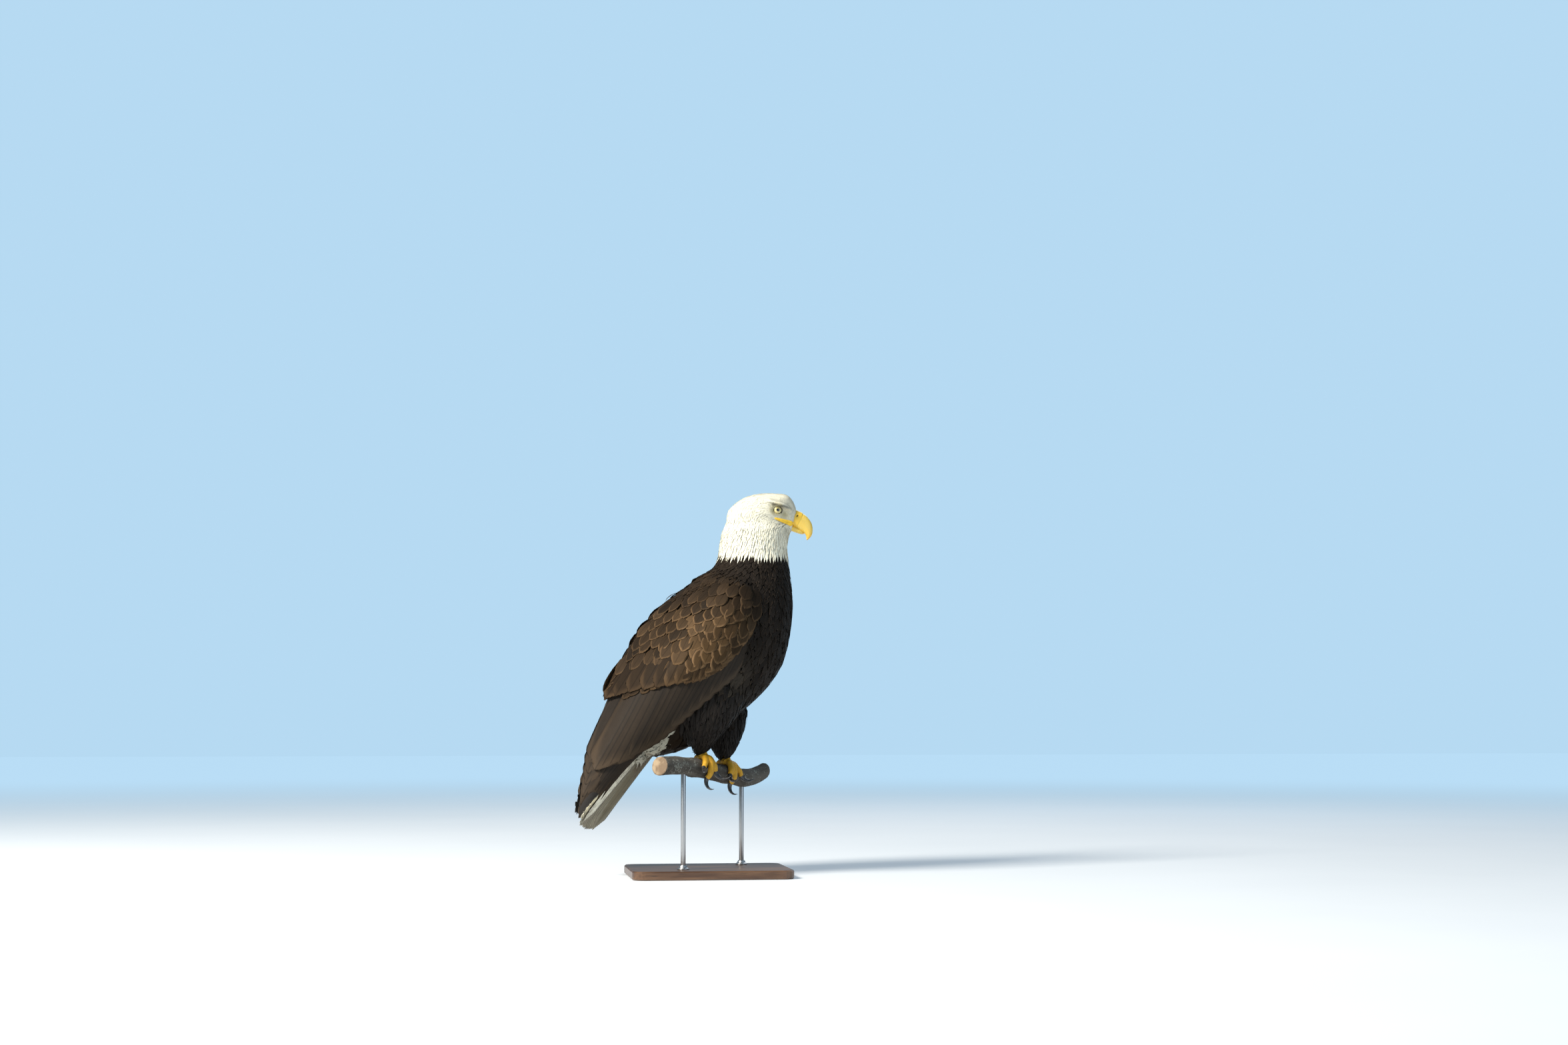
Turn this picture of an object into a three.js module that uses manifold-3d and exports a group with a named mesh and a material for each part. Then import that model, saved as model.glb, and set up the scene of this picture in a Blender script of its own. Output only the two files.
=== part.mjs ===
// A life-size museum model of a perched adult bald eagle: the bird, the cut length of branch
// that it grips, and a plain display stand. Millimetres, +Z up, the bird faces +X, its left is +Y.
// The origin is the centre of the base's underside.
import * as THREE from "three";
import { mergeVertices } from "three/addons/utils/BufferGeometryUtils.js";
import Module from "manifold-3d";

const wasm = await Module();
wasm.setup();

// ---------------------------------------------------------------- driving dimensions
const GAP = 0.35; // clearance left between neighbouring solids
const BASE = { long: 330, wide: 260, thick: 18, corner: 26, chamfer: 2.5 };
const ROD = { radius: 5, sunk: 10, sides: 12 };
const COLLAR = { radius: 12, height: 9, sides: 12 };
const PERCH = {
  x: 10, // from the base's centre to midway between the feet
  height: 214, // of the branch's axis there
  radius: 18.5,
  length: 370,
  yaw: 48, // degrees from the bird's heading to the branch's far end
  slope: -8.5, // degrees, falling towards the far end
  levelled: { from: -60, rate: -0.0008 }, // the near end lies flatter
  kinked: { from: 88, rate: 0.0026 }, // and the far end turns up again
  sides: 12,
};
const STANCE = 84; // between the two feet, along the branch
const HEAD = { x: 114, z: 757, pitch: 12 }; // centre of the skull, and how far the bill points down
const EYE = { x: 25, y: 23.2, z: 5.5, radius: 12.5 };
const ORBIT = { x: 28, y: 47.5, z: 4, radii: [21, 15.5, 13] }; // the hollow round each eye
const WING_LIFT = 0.5; // degrees that the left wing is held further up and back

// ---------------------------------------------------------------- solids and meshes
const radians = THREE.MathUtils.degToRad;
const at = (x, y, z) => new THREE.Vector3(x, y, z);

// A closed BufferGeometry as a manifold-3d solid.
function solid(geometry) {
  const bare = geometry.index ? geometry.toNonIndexed() : geometry.clone();
  for (const name of Object.keys(bare.attributes))
    if (name !== "position") bare.deleteAttribute(name);
  const merged = mergeVertices(bare, 1e-4);
  const made = new wasm.Manifold(
    new wasm.Mesh({
      numProp: 3,
      vertProperties: merged.attributes.position.array,
      triVerts: new Uint32Array(merged.index.array),
    }),
  );
  return made;
}

// The largest body of a manifold-3d solid as a flat-shaded geometry.
function geometryOf(made) {
  const [body] = made.decompose().sort((a, b) => b.volume() - a.volume());
  const mesh = body.getMesh();
  const points = [];
  for (const v of mesh.triVerts)
    for (let axis = 0; axis < 3; axis++) points.push(mesh.vertProperties[v * mesh.numProp + axis]);
  const geometry = new THREE.BufferGeometry();
  geometry.setAttribute("position", new THREE.Float32BufferAttribute(points, 3));
  geometry.computeVertexNormals();
  return geometry;
}

// Takes each neighbour's grown copy out of a solid, so that they meet across the gap.
const fitted = (made, ...neighbours) => neighbours.reduce((left, n) => left.subtract(n), made);

// A closed skin through rings of equally many points, with a point at each end.
function loft(rings) {
  const sides = rings[0].length;
  const middle = (ring) =>
    ring.reduce((sum, p) => sum.add(p), at(0, 0, 0)).divideScalar(sides);
  const points = [...rings.flat(), middle(rings[0]), middle(rings.at(-1))];
  const faces = [];
  for (let k = 0; k < sides; k++) {
    const next = (k + 1) % sides;
    for (let r = 0; r + 1 < rings.length; r++) {
      const [a, b] = [r * sides + k, r * sides + next];
      faces.push([a, b, b + sides], [a, b + sides, a + sides]);
    }
    const last = (rings.length - 1) * sides;
    faces.push([points.length - 2, next, k], [points.length - 1, last + k, last + next]);
  }
  const volume = faces.reduce(
    (sum, [a, b, c]) => sum + points[a].dot(points[b].clone().cross(points[c])),
    0,
  );
  if (volume < 0) for (const face of faces) face.reverse();
  return solid(new THREE.BufferGeometry().setFromPoints(faces.flat().map((i) => points[i])));
}

// Numbers between stations, on a Catmull-Rom curve through each named size.
function between(stations, steps) {
  const rows = [];
  for (let i = 0; i + 1 < stations.length; i++)
    for (let k = 0; k < steps; k++) rows.push([i, k / steps]);
  rows.push([stations.length - 2, 1]);
  return rows.map(([i, t]) => {
    const [p0, p1, p2, p3] = [-1, 0, 1, 2].map(
      (d) => stations[THREE.MathUtils.clamp(i + d, 0, stations.length - 1)],
    );
    const row = {};
    for (const key of Object.keys(p1)) {
      const [v0, v1] = [(p2[key] - p0[key]) / 2, (p3[key] - p1[key]) / 2];
      row[key] =
        (2 * p1[key] - 2 * p2[key] + v0 + v1) * t ** 3 +
        (3 * p2[key] - 3 * p1[key] - 2 * v0 - v1) * t ** 2 +
        v0 * t +
        p1[key];
    }
    return row;
  });
}

// A round tube along a path, with its own radius at each point.
function tube(path, radii, sides, grow = 0) {
  const along = (i) =>
    path[Math.min(i + 1, path.length - 1)].clone().sub(path[Math.max(i - 1, 0)]).normalize();
  let across = at(0, 0, 1).cross(along(0));
  if (across.length() < 0.1) across = at(1, 0, 0);
  const rings = path.map((centre, i) => {
    const t = along(i);
    across.sub(t.clone().multiplyScalar(across.dot(t))).normalize();
    const up = t.clone().cross(across);
    const radius = radii[i] + grow;
    const end = (i === 0 ? -grow : 0) + (i === path.length - 1 ? grow : 0);
    return Array.from({ length: sides }, (_, k) => {
      const turn = (2 * Math.PI * k) / sides;
      return centre
        .clone()
        .addScaledVector(t, end)
        .addScaledVector(across, radius * Math.cos(turn))
        .addScaledVector(up, radius * Math.sin(turn));
    });
  });
  return loft(rings);
}

// A point on a rounded section, fuller than an ellipse where power is under 1.
const rounded = (value, power) => Math.sign(value) * Math.abs(value) ** power;

// ---------------------------------------------------------------- trunk, neck and head
// Each station joins a point on the back to one on the breast, with the half-width between them.
const TRUNK_STATIONS = [
  { backX: -146, backZ: 274, breastX: -112, breastZ: 248, half: 24 }, // root of the tail
  { backX: -166, backZ: 338, breastX: -50, breastZ: 262, half: 56 }, // rump and vent
  { backX: -158, backZ: 412, breastX: 38, breastZ: 316, half: 82 }, // belly
  { backX: -136, backZ: 470, breastX: 112, breastZ: 378, half: 97 },
  { backX: -104, backZ: 520, breastX: 154, breastZ: 438, half: 106 }, // deepest part
  { backX: -66, backZ: 564, breastX: 170, breastZ: 502, half: 108 },
  { backX: -27, backZ: 598, breastX: 175, breastZ: 562, half: 101 }, // shoulders
  { backX: 3, backZ: 628, breastX: 171, breastZ: 610, half: 84 },
  { backX: 20, backZ: 654, breastX: 167, breastZ: 646, half: 67 }, // collar
  { backX: 25, backZ: 690, breastX: 163, breastZ: 682, half: 58 }, // neck
  { backX: 36, backZ: 730, breastX: 168, breastZ: 708, half: 49 }, // chin
  { backX: 62, backZ: 756, breastX: 156, breastZ: 738, half: 31 }, // inside the skull
];

function trunkLoft(grow = 0) {
  const sides = 18;
  const rings = between(TRUNK_STATIONS, 2).map((s) => {
    const back = at(s.backX, 0, s.backZ);
    const breast = at(s.breastX, 0, s.breastZ);
    const out = breast.clone().sub(back);
    const deep = out.length() / 2;
    const centre = back.clone().add(breast).multiplyScalar(0.5);
    out.normalize();
    return Array.from({ length: sides }, (_, k) => {
      const turn = (2 * Math.PI * k) / sides;
      return centre
        .clone()
        .addScaledVector(out, (deep + grow) * rounded(Math.cos(turn), 0.95))
        .add(at(0, (s.half + grow) * rounded(Math.sin(turn), 0.92), 0));
    });
  });
  return loft(rings);
}

// The skull in its own frame: x along the bill, z up, each station an upright section.
const SKULL_STATIONS = [
  { x: -70, top: -14, bottom: -36, half: 12 }, // nape
  { x: -58, top: 4, bottom: -50, half: 30 },
  { x: -38, top: 22, bottom: -58, half: 39.5 },
  { x: -12, top: 34, bottom: -58, half: 42 },
  { x: 14, top: 40, bottom: -52, half: 39 }, // crown
  { x: 34, top: 40, bottom: -45, half: 33 },
  { x: 50, top: 35.5, bottom: -38, half: 25 }, // forehead
  { x: 61, top: 27, bottom: -33, half: 19 },
  { x: 67, top: 17, bottom: -29, half: 15.5 }, // root of the bill
];
const BROW_STATIONS = [
  { x: -2, y: 32, z: 20.5, radius: 3.5 },
  { x: 13, y: 33, z: 20, radius: 5 },
  { x: 27, y: 31.5, z: 18.5, radius: 5.5 },
  { x: 41, y: 25.5, z: 15.5, radius: 5 },
  { x: 56, y: 16, z: 11, radius: 3.5 },
];

// From the skull's frame to the bird's.
const skullPlace = new THREE.Matrix4()
  .makeTranslation(HEAD.x, 0, HEAD.z)
  .multiply(new THREE.Matrix4().makeRotationY(radians(HEAD.pitch)));
const placed = (made, matrix) => made.transform(matrix.toArray());
const onSkull = (made) => placed(made, skullPlace);

function skullLoft(grow = 0) {
  const sides = 16;
  const rings = between(SKULL_STATIONS, 2).map((s, i, all) => {
    const [tall, middle] = [(s.top - s.bottom) / 2, (s.top + s.bottom) / 2];
    const end = (i === 0 ? -grow : 0) + (i === all.length - 1 ? grow : 0);
    return Array.from({ length: sides }, (_, k) => {
      const turn = (2 * Math.PI * k) / sides;
      return at(
        s.x + end,
        (s.half + grow) * rounded(Math.sin(turn), 0.9),
        middle + (tall + grow) * rounded(Math.cos(turn), 0.85),
      );
    });
  });
  return loft(rings);
}

function brow(side, grow = 0) {
  return tube(
    BROW_STATIONS.map((s) => at(s.x, side * s.y, s.z)),
    BROW_STATIONS.map((s) => s.radius),
    6,
    grow,
  );
}

function orbit(side) {
  const hollow = new THREE.SphereGeometry(1, 10, 7).scale(...ORBIT.radii);
  return solid(hollow.translate(ORBIT.x, side * ORBIT.y, ORBIT.z));
}

// The head's bone and flesh: hollowed round the eyes, under a heavy brow.
function skullSolid(grow = 0) {
  const hollowed = fitted(skullLoft(grow), orbit(1), orbit(-1));
  return onSkull(hollowed.add(brow(1, grow)).add(brow(-1, grow)));
}

function eyeball(side, grow = 0) {
  const ball = new THREE.SphereGeometry(EYE.radius + grow, 12, 8);
  return solid(ball.translate(EYE.x, side * EYE.y, EYE.z));
}

// ---------------------------------------------------------------- bill
// Sections square to the bill's curved line, in the skull's frame.
const UPPER_BILL = [
  { x: 58, z: -1, turn: 0, tall: 17, half: 15.5 },
  { x: 70, z: -2.5, turn: -4, tall: 18.5, half: 14.5 }, // front of the cere
  { x: 83.5, z: -6.5, turn: -20, tall: 18.2, half: 12.6 },
  { x: 95, z: -13.5, turn: -42, tall: 15.2, half: 9.8 },
  { x: 102.4, z: -22.5, turn: -66, tall: 9.9, half: 6.6 },
  { x: 105.2, z: -30.5, turn: -84, tall: 5.4, half: 3.8 }, // hook
  { x: 103.6, z: -39.4, turn: -100, tall: 1, half: 0.9 }, // tip
];
const LOWER_BILL = [
  { x: 50, z: -20.5, turn: -6, tall: 6.5, half: 12.5 },
  { x: 66, z: -22, turn: -8, tall: 6, half: 11.5 },
  { x: 80, z: -24.6, turn: -10, tall: 5, half: 9 },
  { x: 89, z: -26.6, turn: -8, tall: 3.6, half: 6 },
  { x: 94, z: -27.4, turn: 0, tall: 1.4, half: 2.2 },
];

function billLoft(stations, grow = 0) {
  const sides = 10;
  const rings = between(stations, 2).map((s) => {
    const up = at(-Math.sin(radians(s.turn)), 0, Math.cos(radians(s.turn)));
    return Array.from({ length: sides }, (_, k) => {
      const turn = (2 * Math.PI * k) / sides;
      return at(s.x, (s.half + grow) * rounded(Math.sin(turn), 0.9), s.z).addScaledVector(
        up,
        (s.tall + grow) * rounded(Math.cos(turn), 0.9),
      );
    });
  });
  return loft(rings);
}

// ---------------------------------------------------------------- wings
// Each station runs from the wing's upper edge, over the back, to its lower edge on the flank.
// reach is how far out the upper edge, the widest part and the lower edge lie.
const WING_STATIONS = [
  { topX: 34, topZ: 634, lowX: 66, lowZ: 620, top: 30, wide: 60, low: 66, thick: 6 },
  { topX: 4, topZ: 632, lowX: 86, lowZ: 578, top: 24, wide: 98, low: 100, thick: 13 }, // wrist
  { topX: -52, topZ: 592, lowX: 68, lowZ: 508, top: 14, wide: 120, low: 112, thick: 17 },
  { topX: -110, topZ: 542, lowX: 46, lowZ: 456, top: 8, wide: 126, low: 115, thick: 20 },
  { topX: -147, topZ: 494, lowX: 16, lowZ: 412, top: 6, wide: 124, low: 113, thick: 23 },
  { topX: -178, topZ: 438, lowX: -22, lowZ: 368, top: 5, wide: 116, low: 106, thick: 25 },
  { topX: -204, topZ: 378, lowX: -74, lowZ: 326, top: 5, wide: 103, low: 94, thick: 25 },
  { topX: -223, topZ: 326, lowX: -128, lowZ: 288, top: 6, wide: 86, low: 78, thick: 20 },
  { topX: -239, topZ: 272, lowX: -174, lowZ: 250, top: 8, wide: 66, low: 61, thick: 13 },
  { topX: -255, topZ: 216, lowX: -206, lowZ: 206, top: 14, wide: 50, low: 46, thick: 7 },
  { topX: -268, topZ: 166, lowX: -235, lowZ: 160, top: 20, wide: 41, low: 40, thick: 5 },
  { topX: -274, topZ: 122, lowX: -264, lowZ: 120, top: 27, wide: 33, low: 34, thick: 3 }, // tip
];
const WING_CUT = { x: -166, z: 262, tilt: 62 }; // where the primaries leave the coverts

function wingLoft(side, grow = 0) {
  const across = 6;
  const rings = between(WING_STATIONS, 2).map((s) => {
    const outer = [];
    const inner = [];
    for (let k = 0; k <= across; k++) {
      const v = k / across;
      // A parabola through the three reaches, swollen towards the middle.
      const reach =
        s.top * (1 - v) * (1 - 2 * v) + s.wide * 4 * v * (1 - v) + s.low * v * (2 * v - 1);
      const body = s.thick * (0.22 + 0.78 * Math.sin(Math.PI * Math.min(1, 0.15 + v * 0.8)));
      const edge = (k === 0 ? -1 : 0) + (k === across ? 1 : 0);
      const line = at(s.lowX - s.topX, 0, s.lowZ - s.topZ).normalize();
      const point = at(
        THREE.MathUtils.lerp(s.topX, s.lowX, v),
        0,
        THREE.MathUtils.lerp(s.topZ, s.lowZ, v),
      ).addScaledVector(line, edge * grow);
      outer.push(point.clone().setY(side * (reach + grow)));
      inner.push(point.clone().setY(side * (reach - body - grow)));
    }
    return [...outer, ...inner.reverse()];
  });
  return loft(rings);
}

// Everything on one side of the bird's middle plane.
function halfOf(side) {
  const size = 1400;
  const box = new THREE.BoxGeometry(size, size, size);
  return solid(box.translate(0, (side * (size + GAP)) / 2, size / 2));
}

// The left wing is turned a little about its shoulder.
const shoulder = at(60, 0, 590);
const lift = new THREE.Matrix4()
  .makeTranslation(shoulder)
  .multiply(new THREE.Matrix4().makeRotationY(radians(WING_LIFT)))
  .multiply(new THREE.Matrix4().makeTranslation(shoulder.clone().negate()));
const wing = (side, grow) =>
  side > 0 ? placed(wingLoft(side, grow), lift) : wingLoft(side, grow);

// Half of space, as a box whose face passes through a point of the side view.
function beyond(x, z, tilt, sign, gap = 0) {
  const size = 1400;
  const box = new THREE.BoxGeometry(size, size, size)
    .translate(0, 0, sign * (size / 2 + gap))
    .rotateY(-radians(tilt))
    .translate(x, 0, z);
  return solid(box);
}

// ---------------------------------------------------------------- tail
const TAIL = { rootX: -124, rootZ: 267, tipX: -262, tipZ: 105, twist: 30 };
const TAIL_STATIONS = [
  { along: -0.12, half: 22, thick: 8, roof: 3 },
  { along: 0.15, half: 30, thick: 9, roof: 5 },
  { along: 0.5, half: 40, thick: 7, roof: 8 },
  { along: 0.8, half: 46, thick: 5, roof: 10 },
  { along: 0.93, half: 44, thick: 4, roof: 10 },
  { along: 1, half: 30, thick: 2.6, roof: 6 },
];

function tailLoft(grow = 0) {
  const root = at(TAIL.rootX, 0, TAIL.rootZ);
  const line = at(TAIL.tipX, 0, TAIL.tipZ).sub(root);
  const axis = line.clone().normalize();
  const over = at(axis.z, 0, -axis.x).applyAxisAngle(axis, radians(TAIL.twist));
  const across = over.clone().cross(axis);
  const sides = 10;
  const rings = between(TAIL_STATIONS, 2).map((s, i, all) => {
    const end = (i === 0 ? -grow : 0) + (i === all.length - 1 ? grow : 0);
    return Array.from({ length: sides }, (_, k) => {
      const turn = (2 * Math.PI * k) / sides;
      const v = rounded(Math.cos(turn), 0.8);
      return root
        .clone()
        .addScaledVector(line, s.along)
        .addScaledVector(axis, end)
        .addScaledVector(across, (s.half + grow) * v)
        .addScaledVector(over, (s.thick / 2 + grow) * rounded(Math.sin(turn), 0.8) - s.roof * v * v);
    });
  });
  return loft(rings);
}

// ---------------------------------------------------------------- branch
const perchPlan = at(Math.cos(radians(PERCH.yaw)), Math.sin(radians(PERCH.yaw)), 0);
const perchAlong = perchPlan.clone().setZ(Math.tan(radians(PERCH.slope))).normalize();
const perchFront = perchPlan.clone().cross(at(0, 0, 1)).normalize(); // the side the toes point to
const perchUp = perchFront.clone().cross(perchAlong).normalize();

// A point of the branch's axis, this far along from midway between the feet.
function perchPoint(along) {
  const { levelled, kinked } = PERCH;
  const bent =
    levelled.rate * Math.max(0, levelled.from - along) ** 2 +
    kinked.rate * Math.max(0, along - kinked.from) ** 2;
  return at(PERCH.x, 0, PERCH.height + bent).addScaledVector(perchAlong, along);
}

function perchSolid(grow = 0) {
  const steps = 13;
  const path = [];
  const radii = [];
  for (let i = 0; i <= steps; i++) {
    const along = PERCH.length * (i / steps - 0.5);
    path.push(perchPoint(along));
    radii.push(PERCH.radius * (1 + 0.04 * Math.sin(i * 1.9) + 0.03 * Math.cos(i * 3.1)));
  }
  return tube(path, radii, PERCH.sides, grow);
}

// ---------------------------------------------------------------- legs
// yaw is each toe's angle from the way the foot points; the first toe points back.
const TOES = [
  { name: "hallux", yaw: 172, long: 38, root: 8, tip: 6.4, claw: 43, wrap: -1 },
  { name: "inner", yaw: 20, long: 50, root: 7.8, tip: 6.2, claw: 39, wrap: 1 },
  { name: "middle", yaw: 0, long: 66, root: 8, tip: 6, claw: 34, wrap: 1 },
  { name: "outer", yaw: -34, long: 52, root: 7.2, tip: 5.6, claw: 30, wrap: 1 },
];
const CLAW = { root: 5.7, bend: 2.3, steps: 5 }; // bend is the claw's whole turn, in radians
const FOOT_BALL = 12;
const THIGH_STATIONS = [
  { x: -8, y: 58, z: 428, long: 66, wide: 38 },
  { x: 2, y: 58, z: 380, long: 74, wide: 43 },
  { x: 4, y: 55, z: 334, long: 64, wide: 42 },
  { x: 2, y: 47, z: 294, long: 42, wide: 32 },
  { x: 0, y: 38, z: 266, long: 24, wide: 22 },
  { x: -2, y: 33, z: 247, long: 11, wide: 12 }, // hem, just above the toes
];

// How far a foot lies from midway between the feet, as a vector in plan.
const footShift = (side) => perchPoint((side * STANCE) / 2).setZ(0);

function footCentre(side) {
  const along = (side * STANCE) / 2;
  return perchPoint(along).addScaledVector(perchUp, PERCH.radius + TOES[2].root - 1);
}

// The line of a toe, wrapped round the branch like a thread, and the line of its claw beyond it.
function toeLine(side, toe, withClaw) {
  const lean = radians(side > 0 ? toe.yaw : -toe.yaw);
  const steps = 5;
  const line = [];
  const place = (s) => {
    const along = (side * STANCE) / 2 - s * Math.sin(lean) * 0.9;
    const radius = PERCH.radius + THREE.MathUtils.lerp(toe.root, toe.tip, s / toe.long) + 0.4;
    const turn = (s * Math.cos(lean)) / (radius + 2);
    return perchPoint(along)
      .addScaledVector(perchUp, radius * Math.cos(turn))
      .addScaledVector(perchFront, radius * Math.sin(turn));
  };
  for (let i = 0; i <= steps; i++) line.push(place((toe.long * i) / steps));
  if (!withClaw) return line;
  // The claw goes straight on from the toe and bends towards the branch.
  const start = line.at(-1);
  const ahead = start.clone().sub(line.at(-2)).normalize();
  const axis = perchAlong.clone().multiplyScalar(toe.wrap);
  const claw = [start.clone().addScaledVector(ahead, -2)];
  const stride = (toe.claw * 1.12) / CLAW.steps;
  for (let i = 0; i < CLAW.steps; i++) {
    ahead.applyAxisAngle(axis, -CLAW.bend / CLAW.steps);
    claw.push(claw.at(-1).clone().addScaledVector(ahead, stride));
  }
  return claw;
}

function toeSolid(side, toe, grow = 0) {
  const line = toeLine(side, toe, false);
  const radii = line.map((_, i) => {
    const t = i / (line.length - 1);
    const pad = 0.5 * Math.cos(t * 2 * Math.PI * 3); // the pads between the joints
    return THREE.MathUtils.lerp(toe.root, toe.tip, t) + pad;
  });
  return tube(line, radii, 6, grow);
}

function clawSolid(side, toe, grow = 0) {
  const line = toeLine(side, toe, true);
  const radii = line.map((_, i) => CLAW.root * (1 - 0.93 * (i / CLAW.steps) ** 1.25));
  return tube(line, radii, 6, grow);
}

function thighLoft(side, grow = 0) {
  const sides = 10;
  const foot = footShift(side);
  const rings = between(THIGH_STATIONS, 2).map((s) => {
    // The hem is drawn over to the foot, and the top stays under the body.
    const share = THREE.MathUtils.smoothstep(420 - s.z, 0, 170);
    const x = s.x + foot.x * share;
    const y = side * s.y * (1 - share) + share * (foot.y + side * (s.y - 33));
    const z = s.z + share * (footCentre(side).z - footCentre(-side).z) * 0.5;
    return Array.from({ length: sides }, (_, k) => {
      const turn = (2 * Math.PI * k) / sides;
      return at(x + (s.long + grow) * Math.cos(turn), y + (s.wide + grow) * Math.sin(turn), z);
    });
  });
  return loft(rings);
}

function tarsusSolid(side, grow = 0) {
  const foot = footCentre(side);
  const top = foot.clone().add(at(side * 1, side * 3, 42));
  const path = [0, 0.35, 0.7, 1].map((t) => top.clone().lerp(foot, t));
  const ball = new THREE.SphereGeometry(FOOT_BALL + grow, 10, 6);
  const pad = solid(ball.translate(foot.x, foot.y, foot.z + 2));
  return tube(path, [8.5, 8, 9, FOOT_BALL - 2], 8, grow).add(pad);
}

// ---------------------------------------------------------------- stand
const ROD_PLACES = [-104, 104]; // along the branch, clear of the toes

function rodSolid(along, grow = 0) {
  const top = perchPoint(along);
  const bottom = BASE.thick - ROD.sunk;
  const rod = new THREE.CylinderGeometry(
    ROD.radius + grow,
    ROD.radius + grow,
    top.z - bottom + grow,
    ROD.sides,
  );
  return solid(rod.rotateX(Math.PI / 2).translate(top.x, top.y, (top.z + bottom - grow) / 2));
}

function collarSolid(along) {
  const { x, y } = perchPoint(along);
  const [inner, outer] = [ROD.radius + GAP, COLLAR.radius];
  const profile = [
    [inner, 0],
    [outer, 0],
    [outer, COLLAR.height - 3],
    [outer - 3, COLLAR.height],
    [inner, COLLAR.height],
    [inner, 0],
  ].map(([r, z]) => new THREE.Vector2(r, z));
  const ring = new THREE.LatheGeometry(profile, COLLAR.sides).rotateX(Math.PI / 2);
  return solid(ring.translate(x, y, BASE.thick + GAP));
}

function baseSolid() {
  const [w, h, r] = [BASE.long / 2, BASE.wide / 2, BASE.corner];
  const plan = new THREE.Shape()
    .moveTo(-w + r, -h)
    .lineTo(w - r, -h)
    .absarc(w - r, -h + r, r, -Math.PI / 2, 0)
    .lineTo(w, h - r)
    .absarc(w - r, h - r, r, 0, Math.PI / 2)
    .lineTo(-w + r, h)
    .absarc(-w + r, h - r, r, Math.PI / 2, Math.PI)
    .lineTo(-w, -h + r)
    .absarc(-w + r, -h + r, r, Math.PI, 1.5 * Math.PI);
  const slab = new THREE.ExtrudeGeometry(plan, {
    depth: BASE.thick - 2 * BASE.chamfer,
    bevelSize: BASE.chamfer,
    bevelThickness: BASE.chamfer,
    bevelOffset: -BASE.chamfer,
    bevelSegments: 1,
    curveSegments: 3,
  });
  return solid(slab.translate(0, 0, BASE.chamfer));
}

// ---------------------------------------------------------------- materials
const finish = (colour, roughness, metalness = 0) =>
  new THREE.MeshStandardMaterial({ color: colour, roughness, metalness });
const MATERIALS = {
  white: finish(0xf2efe6, 0.8),
  brown: finish(0x3b2a1f, 0.75),
  dark: finish(0x241b16, 0.8),
  yellow: finish(0xf2b31c, 0.45),
  leg: finish(0xe2a520, 0.6),
  claw: finish(0x1d1b1c, 0.35),
  eye: finish(0xe6d27a, 0.1),
  bark: finish(0x6c665c, 0.9),
  wood: finish(0x2c221c, 0.5),
  steel: finish(0x9a9a9c, 0.3, 1),
};

// ---------------------------------------------------------------- assembly
const eagle = new THREE.Group();

function place(name, made, material) {
  const mesh = new THREE.Mesh(geometryOf(made), material);
  mesh.name = name;
  eagle.add(mesh);
}

const SIDES = [
  ["right", -1],
  ["left", 1],
];
const NECK_TOP = { x: 98, z: 706, tilt: -8 };
const NECK_FOOT = { x: 93, z: 640, tilt: -6 };

function addBody() {
  const whole = skullSolid().add(trunkLoft());
  const cut = (c, sign) => beyond(c.x, c.z, c.tilt, sign, GAP / 2);
  const eyes = SIDES.map(([, side]) => onSkull(eyeball(side, GAP)));
  place("head", fitted(whole.intersect(cut(NECK_TOP, 1)), ...eyes), MATERIALS.white);
  const neck = whole.intersect(cut(NECK_TOP, -1)).intersect(cut(NECK_FOOT, 1));
  place("neck", neck, MATERIALS.white);
  place("trunk", whole.intersect(cut(NECK_FOOT, -1)), MATERIALS.brown);
}

function addFace() {
  const skull = skullSolid(GAP);
  for (const [name, side] of SIDES)
    place(`eye_${name}`, onSkull(eyeball(side)), MATERIALS.eye);
  const upper = onSkull(billLoft(UPPER_BILL));
  place("bill_upper", fitted(upper, skull), MATERIALS.yellow);
  const lower = onSkull(billLoft(LOWER_BILL));
  place("bill_lower", fitted(lower, skull, onSkull(billLoft(UPPER_BILL, GAP))), MATERIALS.yellow);
}

function addWings() {
  const trunk = trunkLoft(GAP);
  const skull = onSkull(skullLoft(GAP));
  for (const [name, side] of SIDES) {
    const own = wing(side, 0).intersect(halfOf(side));
    const rest = fitted(own, trunk, skull, tailLoft(GAP));
    const cut = (sign) => beyond(WING_CUT.x, WING_CUT.z, WING_CUT.tilt - 90, sign, GAP / 2);
    place(`wing_${name}`, rest.intersect(cut(1)), MATERIALS.brown);
    place(`primaries_${name}`, rest.intersect(cut(-1)), MATERIALS.dark);
  }
  place("tail", fitted(tailLoft(), trunk), MATERIALS.white);
}

function addLeg(name, side, perch) {
  const trunk = trunkLoft(GAP);
  const wings = SIDES.map(([, s]) => wing(s, GAP));
  const tarsus = tarsusSolid(side, GAP);
  const toes = TOES.map((toe) => toeSolid(side, toe, GAP));
  const inside = [trunk, ...wings, tailLoft(GAP), perch, tarsus, ...toes];
  const thigh = fitted(thighLoft(side), ...inside, ...(side > 0 ? [thighLoft(-side, GAP)] : []));
  place(`thigh_${name}`, thigh, MATERIALS.dark);
  place(`tarsus_${name}`, fitted(tarsusSolid(side), perch, trunk), MATERIALS.leg);
  const taken = [perch, tarsus];
  for (const toe of TOES) {
    place(`toe_${toe.name}_${name}`, fitted(toeSolid(side, toe), ...taken), MATERIALS.leg);
    taken.push(toeSolid(side, toe, GAP));
  }
  for (const toe of TOES) {
    place(`claw_${toe.name}_${name}`, fitted(clawSolid(side, toe), ...taken), MATERIALS.claw);
    taken.push(clawSolid(side, toe, GAP));
  }
}

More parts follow.
